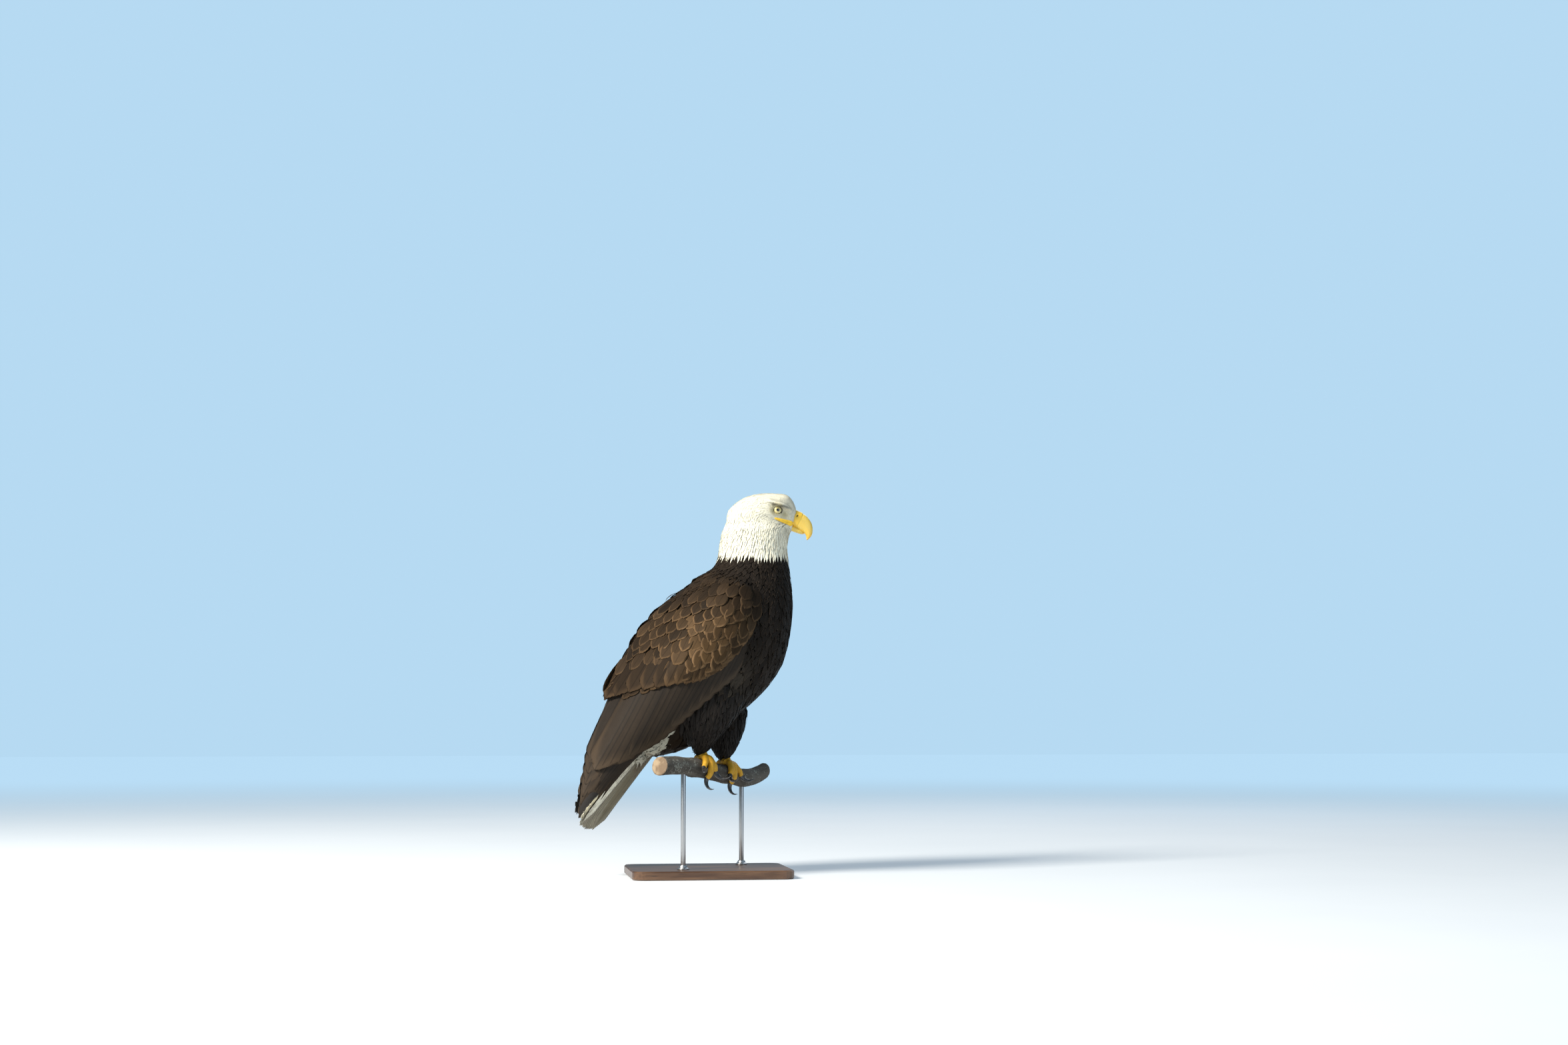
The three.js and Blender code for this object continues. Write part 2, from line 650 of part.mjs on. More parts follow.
function addStand(perch) {
  place("perch", perchSolid(), MATERIALS.bark);
  const sockets = ROD_PLACES.map((along) => rodSolid(along, GAP));
  place("stand_base", fitted(baseSolid(), ...sockets), MATERIALS.wood);
  ROD_PLACES.forEach((along, i) => {
    place(`stand_rod_${i + 1}`, fitted(rodSolid(along), perch), MATERIALS.steel);
    place(`stand_collar_${i + 1}`, collarSolid(along), MATERIALS.steel);
  });
}

const perch = perchSolid(GAP);
addBody();
addFace();
addWings();
for (const [name, side] of SIDES) addLeg(name, side, perch);
addStand(perch);

export default eagle;
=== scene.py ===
"""The looks of a life-size perched bald eagle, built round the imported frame.

Lengths are in metres. The bird faces +X, its left side is +Y and +Z is up.
"""

import logging
import math
from collections.abc import Callable, Sequence
from dataclasses import dataclass, field, replace
from enum import Enum

import bmesh
import bpy
import numpy as np
from mathutils import Matrix, Vector
from mathutils.bvhtree import BVHTree
from mathutils.kdtree import KDTree


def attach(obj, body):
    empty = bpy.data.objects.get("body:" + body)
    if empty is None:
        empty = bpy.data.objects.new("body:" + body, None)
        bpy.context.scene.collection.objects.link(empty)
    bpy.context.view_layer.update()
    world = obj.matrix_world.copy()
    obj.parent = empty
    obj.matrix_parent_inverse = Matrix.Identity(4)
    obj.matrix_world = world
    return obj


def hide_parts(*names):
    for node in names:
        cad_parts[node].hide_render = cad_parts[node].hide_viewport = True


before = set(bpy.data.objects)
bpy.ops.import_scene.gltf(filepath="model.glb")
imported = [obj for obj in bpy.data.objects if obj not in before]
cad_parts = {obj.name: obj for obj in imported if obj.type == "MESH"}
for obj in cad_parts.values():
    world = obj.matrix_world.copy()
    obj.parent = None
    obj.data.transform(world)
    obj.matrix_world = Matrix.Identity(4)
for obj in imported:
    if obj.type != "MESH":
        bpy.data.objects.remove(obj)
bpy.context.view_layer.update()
LOG = logging.getLogger("eagle")
SEED = 41

Colour = tuple[float, float, float]
Socket = bpy.types.NodeSocket
Points = np.ndarray


class Side(Enum):
    """The bird's own right and left."""

    RIGHT = -1
    LEFT = 1

    @property
    def word(self) -> str:
        """The side's name, as node names spell it."""
        return self.name.lower()


# ------------------------------------------------------------------ colours
@dataclass(frozen=True)
class Palette:
    """Linear colours of the bird and its mount."""

    white: Colour = (0.86, 0.815, 0.65)
    cream: Colour = (0.50, 0.42, 0.28)
    # Painted shade on the white tail's underside.
    under_tail: Colour = (0.15, 0.12, 0.068)
    smudge: Colour = (0.13, 0.095, 0.06)
    brown: Colour = (0.0185, 0.0115, 0.0064)
    faded: Colour = (0.056, 0.032, 0.0135)
    # Dark brown of the breast and thighs: partly their real colour, partly painted shade, made darker because
    # the breast lies in shade.
    dark: Colour = (0.011, 0.009, 0.0078)
    buff: Colour = (0.17, 0.10, 0.048)
    # Painted light: the paler colour of the patch where light falls on the flank.
    flank_sunlit: Colour = (0.045, 0.036, 0.027)
    lore: Colour = (0.62, 0.55, 0.34)
    yellow: Colour = (0.89, 0.56, 0.065)
    gape: Colour = (0.92, 0.56, 0.045)
    # Also used for the painted shadow line under the brow.
    lid: Colour = (0.075, 0.066, 0.050)
    leg: Colour = (0.70, 0.385, 0.022)
    # Painted shade: the darker colour of the toes' undersides.
    sole_shade: Colour = (0.42, 0.24, 0.04)
    iris: Colour = (0.72, 0.60, 0.27)
    horn: Colour = (0.018, 0.017, 0.018)
    bark: Colour = (0.115, 0.102, 0.085)
    lichen: Colour = (0.28, 0.28, 0.235)
    walnut: Colour = (0.060, 0.028, 0.014)
    white_rim: Colour = (0.90, 0.88, 0.80)
    dark_rim: Colour = (0.036, 0.027, 0.020)
    quill_rim: Colour = (0.10, 0.066, 0.038)
    tail_rim: Colour = (0.80, 0.76, 0.64)
    primary: Colour = (0.0195, 0.0138, 0.0095)
    secondary: Colour = (0.0225, 0.0150, 0.0093)
    grime: Colour = (0.45, 0.30, 0.16)
    bill_pale: Colour = (0.91, 0.64, 0.13)
    bill_deep: Colour = (0.88, 0.50, 0.05)
    cere: Colour = (0.90, 0.54, 0.035)
    # Painted shade: the dark inside of the nostril's opening.
    nostril: Colour = (0.05, 0.026, 0.008)
    bill_worn: Colour = (0.88, 0.74, 0.42)
    bill_tip: Colour = (0.30, 0.20, 0.09)
    iris_dark: Colour = (0.48, 0.36, 0.11)
    iris_pale: Colour = (0.86, 0.76, 0.42)
    iris_rim: Colour = (0.06, 0.045, 0.03)
    pupil: Colour = (0.002, 0.002, 0.002)
    horn_worn: Colour = (0.16, 0.15, 0.14)
    furrow: Colour = (0.035, 0.028, 0.023)
    bark_pale: Colour = (0.13, 0.116, 0.096)
    wood_dark: Colour = (0.17, 0.110, 0.062)
    wood_pale: Colour = (0.34, 0.245, 0.150)
    wood_edge: Colour = (0.05, 0.036, 0.026)
    walnut_pale: Colour = (0.14, 0.072, 0.036)
    pore: Colour = (0.018, 0.010, 0.006)
    floor_cool: Colour = (0.56, 0.575, 0.59)
    floor_warm: Colour = (0.62, 0.63, 0.64)
    floor_glow: Colour = (0.16, 0.18, 0.20)
    steel_dark: Colour = (0.36, 0.36, 0.37)
    steel_pale: Colour = (0.58, 0.58, 0.58)
    backdrop: Colour = (0.47, 0.70, 0.89)


PALETTE = Palette()


# ------------------------------------------------------------------ shader nodes
class Graph:
    """Short calls that add and join the nodes of one material or node group."""

    def __init__(self, tree: bpy.types.NodeTree) -> None:
        """Empties the tree that it will fill."""
        self.tree = tree
        tree.nodes.clear()

    def put(self, socket: Socket, value: object) -> None:
        """Links a socket into an input, or sets the input's own value.

        Args:
            socket: the input.
            value: a socket, a number, a vector or a colour.
        """
        if isinstance(value, bpy.types.NodeSocket):
            self.tree.links.new(value, socket)
        elif isinstance(value, tuple) and len(value) == 3 and socket.type == "RGBA":
            socket.default_value = (*value, 1.0)
        else:
            socket.default_value = value

    def add(self, kind: str, settings: dict | None = None, **inputs: object) -> bpy.types.Node:
        """Adds a node.

        Args:
            kind: the node's type.
            settings: its properties.
            **inputs: its inputs, with _ for a space.

        Returns:
            The node.
        """
        node = self.tree.nodes.new(kind)
        for name, value in (settings or {}).items():
            setattr(node, name, value)
        for name, value in inputs.items():
            self.put(node.inputs[name.replace("_", " ")], value)
        return node

    def math(self, operation: str, *values: object, clamp: bool = False) -> Socket:
        """Adds a Math node and returns its result.

        Args:
            operation: the node's operation.
            *values: its operands.
            clamp: whether the result is kept within 0 and 1.

        Returns:
            The result.
        """
        node = self.add("ShaderNodeMath", {"operation": operation, "use_clamp": clamp})
        for socket, value in zip(node.inputs, values):
            self.put(socket, value)
        return node.outputs[0]

    def times(self, first: object, second: object) -> Socket:
        """Multiplies two values."""
        return self.math("MULTIPLY", first, second)

    def line(self, value: object, factor: object, plus: object) -> Socket:
        """Multiplies a value, then adds to it."""
        return self.math("MULTIPLY_ADD", value, factor, plus)

    def toned(self, colour: object, tone: Socket) -> Socket:
        """Makes a colour darker or lighter by a number."""
        grey = self.add("ShaderNodeCombineXYZ", X=tone, Y=tone, Z=tone).outputs[0]
        return self.mix(1.0, colour, grey, "MULTIPLY")

    def mix(self, factor: object, first: object, second: object, blend: str = "MIX") -> Socket:
        """Mixes two colours.

        Args:
            factor: the second colour's share.
            first: the first colour.
            second: the second colour.
            blend: the way of mixing.

        Returns:
            The mixed colour.
        """
        node = self.add("ShaderNodeMix", {"data_type": "RGBA", "blend_type": blend})
        self.put(node.inputs[0], factor)
        self.put(node.inputs[6], first)
        self.put(node.inputs[7], second)
        return node.outputs[2]

    def step(self, value: object, low: float, high: float, to: tuple = (0.0, 1.0)) -> Socket:
        """Eases a value from one level to another.

        Args:
            value: what is read.
            low: where the rise starts.
            high: where it ends.
            to: the two levels.

        Returns:
            The eased value.
        """
        node = self.add("ShaderNodeMapRange", {"interpolation_type": "SMOOTHSTEP"})
        for index, number in enumerate((value, low, high, *to)):
            self.put(node.inputs[index], number)
        return node.outputs[0]

    def noise(self, vector: Socket, scale: float, detail: float = 3.0, roughness: float = 0.55) -> Socket:
        """Adds a noise texture and returns its value."""
        node = self.add("ShaderNodeTexNoise", Vector=vector, Scale=scale, Detail=detail, Roughness=roughness)
        return node.outputs[0]

    def attribute(self, name: str, output: str = "Fac") -> Socket:
        """Reads one of the piece's own attributes, as a number, a vector or a colour."""
        return self.add("ShaderNodeAttribute", {"attribute_name": name}).outputs[output]

    def place(self) -> Socket:
        """The piece's own coordinates."""
        return self.add("ShaderNodeTexCoord").outputs["Object"]

    def stretched(self, vector: Socket, scale: tuple, turn: tuple = (0.0, 0.0, 0.0)) -> Socket:
        """Scales and turns a pattern's coordinates."""
        node = self.add("ShaderNodeMapping", Vector=vector, Scale=scale, Rotation=turn)
        return node.outputs[0]

    def bump(self, height: Socket, strength: float, distance: float, normal: Socket | None = None) -> Socket:
        """Turns a height into a normal."""
        node = self.add("ShaderNodeBump", Height=height, Strength=strength, Distance=distance)
        if normal is not None:
            self.put(node.inputs["Normal"], normal)
        return node.outputs[0]


def shader(name: str, build: Callable[[Graph], dict]) -> bpy.types.Material:
    """Makes a material around one Principled BSDF.

    Args:
        name: the material's name.
        build: gives the shader's inputs, by name.

    Returns:
        The material.
    """
    made = bpy.data.materials.new(name)
    made.use_nodes = True
    graph = Graph(made.node_tree)
    inputs = build(graph)
    surface = graph.add("ShaderNodeBsdfPrincipled")
    for key, value in inputs.items():
        graph.put(surface.inputs[key], value)
    graph.add("ShaderNodeOutputMaterial", Surface=surface.outputs[0])
    return made


def socket_group(name: str, inputs: dict[str, float], outputs: Sequence[str]) -> bpy.types.NodeTree:
    """Starts a node group of plain numbers.

    Args:
        name: the group's name.
        inputs: its inputs' names and usual values.
        outputs: its outputs' names.

    Returns:
        The group, with no nodes yet.
    """
    group = bpy.data.node_groups.new(name, "ShaderNodeTree")
    for key, value in inputs.items():
        socket = group.interface.new_socket(key, in_out="INPUT", socket_type="NodeSocketFloat")
        socket.default_value = value
    for key in outputs:
        group.interface.new_socket(key, in_out="OUTPUT", socket_type="NodeSocketFloat")
    return group


def vane_group() -> bpy.types.NodeTree:
    """The structure of a feather's vane: its shaft, its barbs and its rim.

    Returns:
        The node group, which reads the vane attribute.
    """
    outputs = ("Shaft", "Barbs", "Rim", "Height", "Along", "Seed")
    group = socket_group("feather_vane", {"Barb Count": 30.0, "Slant": 1.0, "Side Rim": 0.0}, outputs)
    graph = Graph(group)
    source = graph.add("NodeGroupInput")
    vane = graph.add("ShaderNodeSeparateXYZ", Vector=graph.attribute("vane", "Vector"))
    across, along, seed = vane.outputs
    side = graph.math("ABSOLUTE", across)
    shaft = graph.step(side, 0.02, 0.085, (1.0, 0.0))
    wander = graph.noise(graph.attribute("vane", "Vector"), 3.2, 2.0)
    slanted = graph.math("SUBTRACT", along, graph.times(side, source.outputs["Slant"]))
    wavy = graph.line(wander, 0.10, slanted)
    turns = graph.times(graph.times(wavy, source.outputs["Barb Count"]), math.tau)
    barbs = graph.line(graph.math("SINE", turns), 0.5, 0.5)
    tip = graph.times(graph.math("MAXIMUM", graph.math("SUBTRACT", along, 0.5), 0.0), 2.0)
    reach = graph.math("ADD", graph.math("POWER", tip, 2.0), graph.math("POWER", side, 2.0))
    reach = graph.line(graph.math("SUBTRACT", wander, 0.5), 0.30, reach)
    rim = graph.step(reach, 0.46, 0.94)
    border = graph.times(graph.step(side, 0.80, 0.93), source.outputs["Side Rim"])
    rim = graph.math("MAXIMUM", rim, border)
    height = graph.line(shaft, 1.4, graph.times(barbs, 0.5))
    sink = graph.add("NodeGroupOutput")
    for key, value in zip(outputs, (shaft, barbs, rim, height, along, seed)):
        graph.put(sink.inputs[key], value)
    return group


# ------------------------------------------------------------------ finishes
@dataclass(frozen=True)
class Plumage:
    """The finish of one kind of feather."""

    name: str
    rim: Colour
    barb_count: float = 26.0
    shaft_tone: float = 0.75
    barb_tone: float = 0.16
    roughness: float = 0.62
    sheen: float = 0.25
    bump: float = 0.35
    ease: float = 0.55
    gloss: float = 0.12
    side_rim: float = 0.0
    smudged: float = 0.0
    # A faint glow of the feather's own tint: painted light that brightens the shade between white feathers.
    painted_glow: float = 0.0

    def material(self, vane: bpy.types.NodeTree) -> bpy.types.Material:
        """Makes the finish's material.

        Args:
            vane: the feather_vane group.

        Returns:
            The material, which reads the tint, edge and vane attributes.
        """

        def build(graph: Graph) -> dict:
            """The shader's inputs: the tint, with barbs, shaft, stains and a pale rim."""
            part = graph.add("ShaderNodeGroup", {"node_tree": vane})
            graph.put(part.inputs["Barb Count"], self.barb_count)
            graph.put(part.inputs["Side Rim"], self.side_rim)
            shaft, barbs, rim, height, along, seed = part.outputs
            tint = graph.attribute("tint", "Color")
            edge = graph.attribute("edge")
            blotch = graph.noise(graph.place(), 60.0, 4.0, 0.6)
            lit = graph.line(blotch, 0.36, 0.82)
            barred = graph.line(barbs, self.barb_tone, 1.0 - self.barb_tone / 2)
            lit = graph.times(graph.times(lit, barred), graph.step(along, 0.15, 0.75, (0.78, 1.04)))
            body = graph.toned(tint, lit)
            stains = graph.step(graph.noise(graph.place(), 34.0, 5.0, 0.65), 0.47, 0.66)
            body = graph.mix(graph.times(stains, self.smudged), body, PALETTE.smudge)
            share = graph.math("MULTIPLY", rim, edge, clamp=True)
            body = graph.mix(share, body, self.rim)
            dull = graph.mix(1.0, body, (self.shaft_tone,) * 3, "MULTIPLY")
            body = graph.mix(graph.times(shaft, 0.8), body, dull)
            normal = self._eased(graph, graph.bump(height, self.bump, 0.0006))
            return {
                "Base Color": body,
                "Roughness": graph.line(seed, 0.12, self.roughness - 0.06),
                "Sheen Weight": self.sheen,
                "Sheen Roughness": 0.45,
                "Specular IOR Level": self.gloss,
                # Painted light: the feathers glow faintly in their own tint.
                "Emission Color": tint,
                "Emission Strength": self.painted_glow,
                "Normal": normal,
            }

        return shader(self.name, build)

    def _eased(self, graph: Graph, normal: Socket) -> Socket:
        """Draws a vane's normal towards the coat's, so that the vanes read as one soft coat.

        Args:
            graph: the material's graph.
            normal: the vane's own normal.

        Returns:
            The eased normal.
        """
        lie = graph.attribute("lie", "Vector")
        facing = graph.add("ShaderNodeNewGeometry").outputs["Normal"]
        alike = graph.add("ShaderNodeVectorMath", {"operation": "DOT_PRODUCT"})
        graph.put(alike.inputs[0], facing)
        graph.put(alike.inputs[1], lie)
        turned = graph.add("ShaderNodeVectorMath", {"operation": "SCALE"})
        graph.put(turned.inputs[0], lie)
        graph.put(turned.inputs["Scale"], graph.math("SIGN", alike.outputs["Value"]))
        eased = graph.add("ShaderNodeMix", {"data_type": "VECTOR"})
        graph.put(eased.inputs[0], self.ease)
        graph.put(eased.inputs[4], normal)
        graph.put(eased.inputs[5], turned.outputs[0])
        made = graph.add("ShaderNodeVectorMath", {"operation": "NORMALIZE"}, Vector=eased.outputs[1])
        return made.outputs[0]


class Finishes:
    """Every material of the model, made once."""

    def __init__(self) -> None:
        """Makes the groups and materials."""
        vane = vane_group()
        self.white = Plumage(
            "white_feathers", PALETTE.white_rim, 24, shaft_tone=0.94, barb_tone=0.05, roughness=0.8,
            ease=0.9, bump=0.12, sheen=0.1, gloss=0.08, painted_glow=0.08,
        ).material(vane)
        self.brown = Plumage(
            "brown_feathers", PALETTE.buff, 26, shaft_tone=0.6, barb_tone=0.24, sheen=0.02, gloss=0.07
        ).material(vane)
        self.dark = Plumage(
            "dark_feathers", PALETTE.dark_rim, 26, shaft_tone=0.7, barb_tone=0.25, sheen=0.04
        ).material(vane)
        self.quill = Plumage(
            "flight_feathers", PALETTE.quill_rim, 120, shaft_tone=0.5, barb_tone=0.2, sheen=0.0,
            ease=0.25, side_rim=0.55, gloss=0.16,
        ).material(vane)
        self.tail = Plumage(
            "tail_feathers", PALETTE.tail_rim, 120, shaft_tone=0.7, barb_tone=0.12, ease=0.3,
            side_rim=0.4, sheen=0.05, smudged=0.7,
        ).material(vane)
        self.skin = shader("skin", self._skin)
        self.bill = shader("bill_horn", self._bill)
        self.eye = shader("eye", self._eye)
        self.claw = shader("claw_horn", self._claw)
        self.bark = shader("bark", self._bark)
        self.cut_wood = shader("cut_wood", self._cut_wood)
        self.walnut = shader("walnut", self._walnut)
        self.steel = shader("brushed_steel", self._steel)
        self.floor = shader("studio_floor", self._floor)

    @staticmethod
    def _skin(graph: Graph) -> dict:
        """Downy skin under the coat, and the scaled skin of the feet."""
        tint = graph.attribute("tint", "Color")
        scaly = graph.attribute("scaly")
        place = graph.place()
        fine = graph.noise(place, 900.0, 3.0)
        broad = graph.noise(place, 120.0, 4.0)
        tone = graph.line(broad, 0.5, 0.75)
        colour = graph.toned(tint, tone)
        cells = graph.add("ShaderNodeTexVoronoi", {"feature": "DISTANCE_TO_EDGE"}, Vector=place, Scale=620.0)
        seams = graph.step(cells.outputs[0], 0.0, 0.16, (1.0, 0.0))
        seams = graph.times(seams, scaly)
        grime = graph.mix(1.0, colour, PALETTE.grime, "MULTIPLY")
        colour = graph.mix(graph.times(seams, 0.7), colour, grime)
        height = graph.math("SUBTRACT", graph.times(fine, 0.5), seams)
        return {
            "Base Color": colour,
            "Roughness": graph.line(scaly, -0.28, 0.8),
            "Specular IOR Level": 0.4,
            "Normal": graph.bump(height, 0.5, 0.0004),
        }

    @staticmethod
    def _bill(graph: Graph) -> dict:
        """Yellow horn with growth lines, and a softer cere."""
        place = graph.place()
        cere = graph.attribute("cere")
        reach = graph.attribute("reach")
        broad = graph.noise(place, 70.0, 4.0)
        lines = graph.noise(graph.stretched(place, (1.0, 0.4, 0.25), (0.0, 0.5, 0.0)), 520.0, 3.0)
        pit = graph.attribute("pit")
        colour = graph.mix(broad, PALETTE.yellow, PALETTE.bill_pale)
        colour = graph.mix(graph.step(reach, 0.55, 0.98), colour, PALETTE.bill_deep)
        colour = graph.mix(graph.times(cere, 0.8), colour, PALETTE.cere)
        # Painted shade: the nostril pit is coloured dark, standing for the depth of the opening.
        colour = graph.mix(graph.step(pit, 0.40, 0.72), colour, PALETTE.nostril)
        worn = graph.times(graph.step(lines, 0.55, 0.75), graph.math("SUBTRACT", 1.0, cere))
        colour = graph.mix(graph.times(worn, 0.35), colour, PALETTE.bill_worn)
        tip = graph.times(graph.step(reach, 0.93, 1.0), 0.55)
        colour = graph.mix(tip, colour, PALETTE.bill_tip)
        height = graph.math("ADD", lines, graph.noise(place, 1400.0, 2.0))
        return {
            "Base Color": colour,
            "Roughness": graph.line(broad, 0.2, 0.28),
            "Subsurface Weight": 0.06,
            "Subsurface Scale": 0.003,
            "Normal": graph.bump(height, 0.25, 0.0004),
            "Coat Weight": 0.25,
            "Coat Roughness": 0.25,
        }

    @staticmethod
    def _eye(graph: Graph) -> dict:
        """A pale iris with fine rays, round a black pupil."""
        gaze = graph.attribute("gaze")
        rays = graph.attribute("rays", "Vector")
        fibre = graph.noise(rays, 9.0, 4.0, 0.7)
        iris = graph.mix(graph.step(fibre, 0.35, 0.7), PALETTE.iris_dark, PALETTE.iris_pale)
        iris = graph.mix(graph.step(gaze, 0.34, 0.58), iris, graph.mix(0.5, iris, PALETTE.iris))
        iris = graph.mix(graph.step(gaze, 0.84, 0.97), iris, PALETTE.iris_rim)
        colour = graph.mix(graph.step(gaze, 0.31, 0.36), PALETTE.pupil, iris)
        return {
            "Base Color": colour,
            "Roughness": 0.12,
            "Coat Weight": 1.0,
            "Coat Roughness": 0.02,
            "Specular IOR Level": 0.6,
        }

    @staticmethod
    def _claw(graph: Graph) -> dict:
        """Black horn, paler and worn along its length."""
        place = graph.place()
        streak = graph.noise(graph.stretched(place, (1.0, 1.0, 0.3)), 420.0, 4.0)
        worn = graph.times(graph.step(streak, 0.5, 0.8), 0.6)
        colour = graph.mix(worn, PALETTE.horn, PALETTE.horn_worn)
        return {
            "Base Color": colour,
            "Roughness": graph.line(streak, 0.3, 0.18),
            "Normal": graph.bump(streak, 0.2, 0.0003),
            "Coat Weight": 0.4,
            "Coat Roughness": 0.2,
        }

    @staticmethod
    def _bark(graph: Graph) -> dict:
        """Grey furrowed bark with pale lichen."""
        grain = graph.attribute("grain", "Vector")
        place = graph.place()
        ridges = graph.noise(graph.stretched(grain, (1.0, 0.22, 1.0)), 42.0, 6.0, 0.65)
        fine = graph.noise(place, 700.0, 5.0, 0.7)
        colour = graph.mix(graph.step(ridges, 0.35, 0.65), PALETTE.furrow, PALETTE.bark)
        colour = graph.mix(graph.step(fine, 0.45, 0.75), colour, PALETTE.bark_pale)
        patches = graph.times(graph.noise(place, 38.0, 5.0, 0.6), graph.noise(place, 260.0, 3.0))
        lichen = graph.step(patches, 0.29, 0.36)
        colour = graph.mix(graph.times(lichen, 0.75), colour, PALETTE.lichen)
        height = graph.line(ridges, 1.6, fine)
        return {
            "Base Color": colour,
            "Roughness": graph.line(fine, 0.15, 0.8),
            "Specular IOR Level": 0.25,
            "Normal": graph.bump(height, 0.7, 0.0016),
        }

    @staticmethod
    def _cut_wood(graph: Graph) -> dict:
        """Sawn end grain with growth rings."""
        ring = graph.attribute("grain", "Vector")
        radius = graph.add("ShaderNodeSeparateXYZ", Vector=ring).outputs[2]
        place = graph.place()
        wobble = graph.line(graph.noise(place, 90.0, 2.0), 0.12, radius)
        rings = graph.line(graph.math("SINE", graph.times(wobble, 62.0)), 0.5, 0.5)
        colour = graph.mix(rings, PALETTE.wood_dark, PALETTE.wood_pale)
        colour = graph.mix(graph.step(radius, 0.86, 0.93), colour, PALETTE.wood_edge)
        return {
            "Base Color": colour,
            "Roughness": 0.75,
            "Normal": graph.bump(graph.noise(place, 1500.0, 3.0), 0.3, 0.0004),
        }

    @staticmethod
    def _walnut(graph: Graph) -> dict:
        """Oiled dark wood with a long grain."""
        place = graph.place()
        long = graph.stretched(place, (1.0, 9.0, 9.0))
        bands = graph.noise(long, 5.0, 6.0, 0.62)
        pores = graph.noise(graph.stretched(place, (1.0, 30.0, 30.0)), 26.0, 3.0)
        colour = graph.mix(graph.step(bands, 0.36, 0.64), PALETTE.walnut, PALETTE.walnut_pale)
        colour = graph.mix(graph.step(pores, 0.60, 0.72), colour, PALETTE.pore)
        return {
            "Base Color": colour,
            "Roughness": graph.line(bands, 0.16, 0.28),
            "Normal": graph.bump(pores, 0.12, 0.0003),
            "Coat Weight": 0.2,
            "Coat Roughness": 0.25,
        }

    @staticmethod
    def _floor(graph: Graph) -> dict:
        """A pale matt floor that fades into the backdrop with distance."""
        place = graph.place()
        tone = graph.noise(place, 1.5, 3.0)
        away = graph.add("ShaderNodeVectorMath", {"operation": "LENGTH"}, Vector=place).outputs["Value"]
        far = graph.step(away, 1.4, 8.0)
        colour = graph.mix(tone, PALETTE.floor_cool, PALETTE.floor_warm)
        return {
            "Base Color": graph.mix(far, colour, (0.0, 0.0, 0.0)),
            "Roughness": 0.9,
            "Emission Color": graph.mix(far, PALETTE.floor_glow, PALETTE.backdrop),
            "Emission Strength": 1.0,
        }

    @staticmethod
    def _steel(graph: Graph) -> dict:
        """Steel brushed along its length."""
        place = graph.place()
        lines = graph.noise(graph.stretched(place, (60.0, 60.0, 1.0)), 30.0, 3.0)
        return {
            "Base Color": graph.mix(lines, PALETTE.steel_dark, PALETTE.steel_pale),
            "Metallic": 1.0,
            "Roughness": graph.line(lines, 0.2, 0.24),
            "Normal": graph.bump(lines, 0.08, 0.0002),
        }


# ------------------------------------------------------------------ mesh making
def adopt(mesh: bpy.types.Mesh, name: str, material: bpy.types.Material | None = None) -> bpy.types.Object:
    """Puts a mesh into the scene as a smooth piece.

    Args:
        mesh: the mesh.
        name: the piece's name.
        material: its finish.

    Returns:
        The piece.
    """
    piece = bpy.data.objects.new(name, mesh)
    bpy.context.scene.collection.objects.link(piece)
    if material is not None:
        mesh.materials.append(material)
    mesh.shade_smooth()
    return piece


def enlist(piece: bpy.types.Object, slot: str, *nodes: str) -> bpy.types.Object:
    """Makes a piece part of the model.

    Args:
        piece: the piece.
        slot: not used.
        *nodes: the frame's nodes that it stands for.

    Returns:
        The same piece.
    """
    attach(piece, "root")
    if nodes:
        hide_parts(*nodes)
    LOG.info("%s: %d faces", piece.name, len(piece.data.polygons))
    return piece


def set_attribute(mesh: bpy.types.Mesh, name: str, kind: str, values: Points) -> None:
    """Stores one value for each vertex.

    Args:
        mesh: the mesh.
        name: the attribute's name.
        kind: FLOAT, FLOAT_VECTOR or FLOAT_COLOR.
        values: one row for each vertex.
    """
    made = mesh.attributes.new(name, kind, "POINT")
    key = {"FLOAT": "value", "FLOAT_VECTOR": "vector", "FLOAT_COLOR": "color"}[kind]
    if kind == "FLOAT_COLOR" and values.shape[1] == 3:
        values = np.hstack([values, np.ones((len(values), 1))])
    made.data.foreach_set(key, np.ascontiguousarray(values, dtype=np.float32).ravel())


def coordinates(mesh: bpy.types.Mesh) -> Points:
    """The mesh's vertices as an array of rows."""
    flat = np.empty(len(mesh.vertices) * 3, dtype=np.float32)
    mesh.vertices.foreach_get("co", flat)
    return flat.reshape(-1, 3).astype(float)


def swept(
    bm: bmesh.types.BMesh, rings: int, sides: int, shape: Callable[[float, float], Vector]
) -> list[bmesh.types.BMVert]:
    """Bends a grid into a closed tube.

    Args:
        bm: where it is made.
        rings: steps along the tube.
        sides: steps round it.
        shape: gives a point from how far along and how far round it is, both 0 to 1.

    Returns:
        The tube's vertices.
    """
    grid = bmesh.ops.create_grid(bm, x_segments=sides, y_segments=rings, size=0.5)["verts"]
    for vert in grid:
        vert.co = shape(vert.co.y + 0.5, vert.co.x + 0.5)
    bmesh.ops.remove_doubles(bm, verts=grid, dist=1e-6)
    kept = [vert for vert in grid if vert.is_valid]
    edges = {edge for vert in kept for edge in vert.link_edges if edge.is_boundary}
    if edges:
        bmesh.ops.holes_fill(bm, edges=list(edges), sides=0)
    faces = list({face for vert in kept for face in vert.link_faces})
    bmesh.ops.recalc_face_normals(bm, faces=faces)
    return kept


def finished(bm: bmesh.types.BMesh, name: str) -> bpy.types.Mesh:
    """Turns a bmesh into a mesh and frees it."""
    mesh = bpy.data.meshes.new(name)
    bm.to_mesh(mesh)
    bm.free()
    return mesh


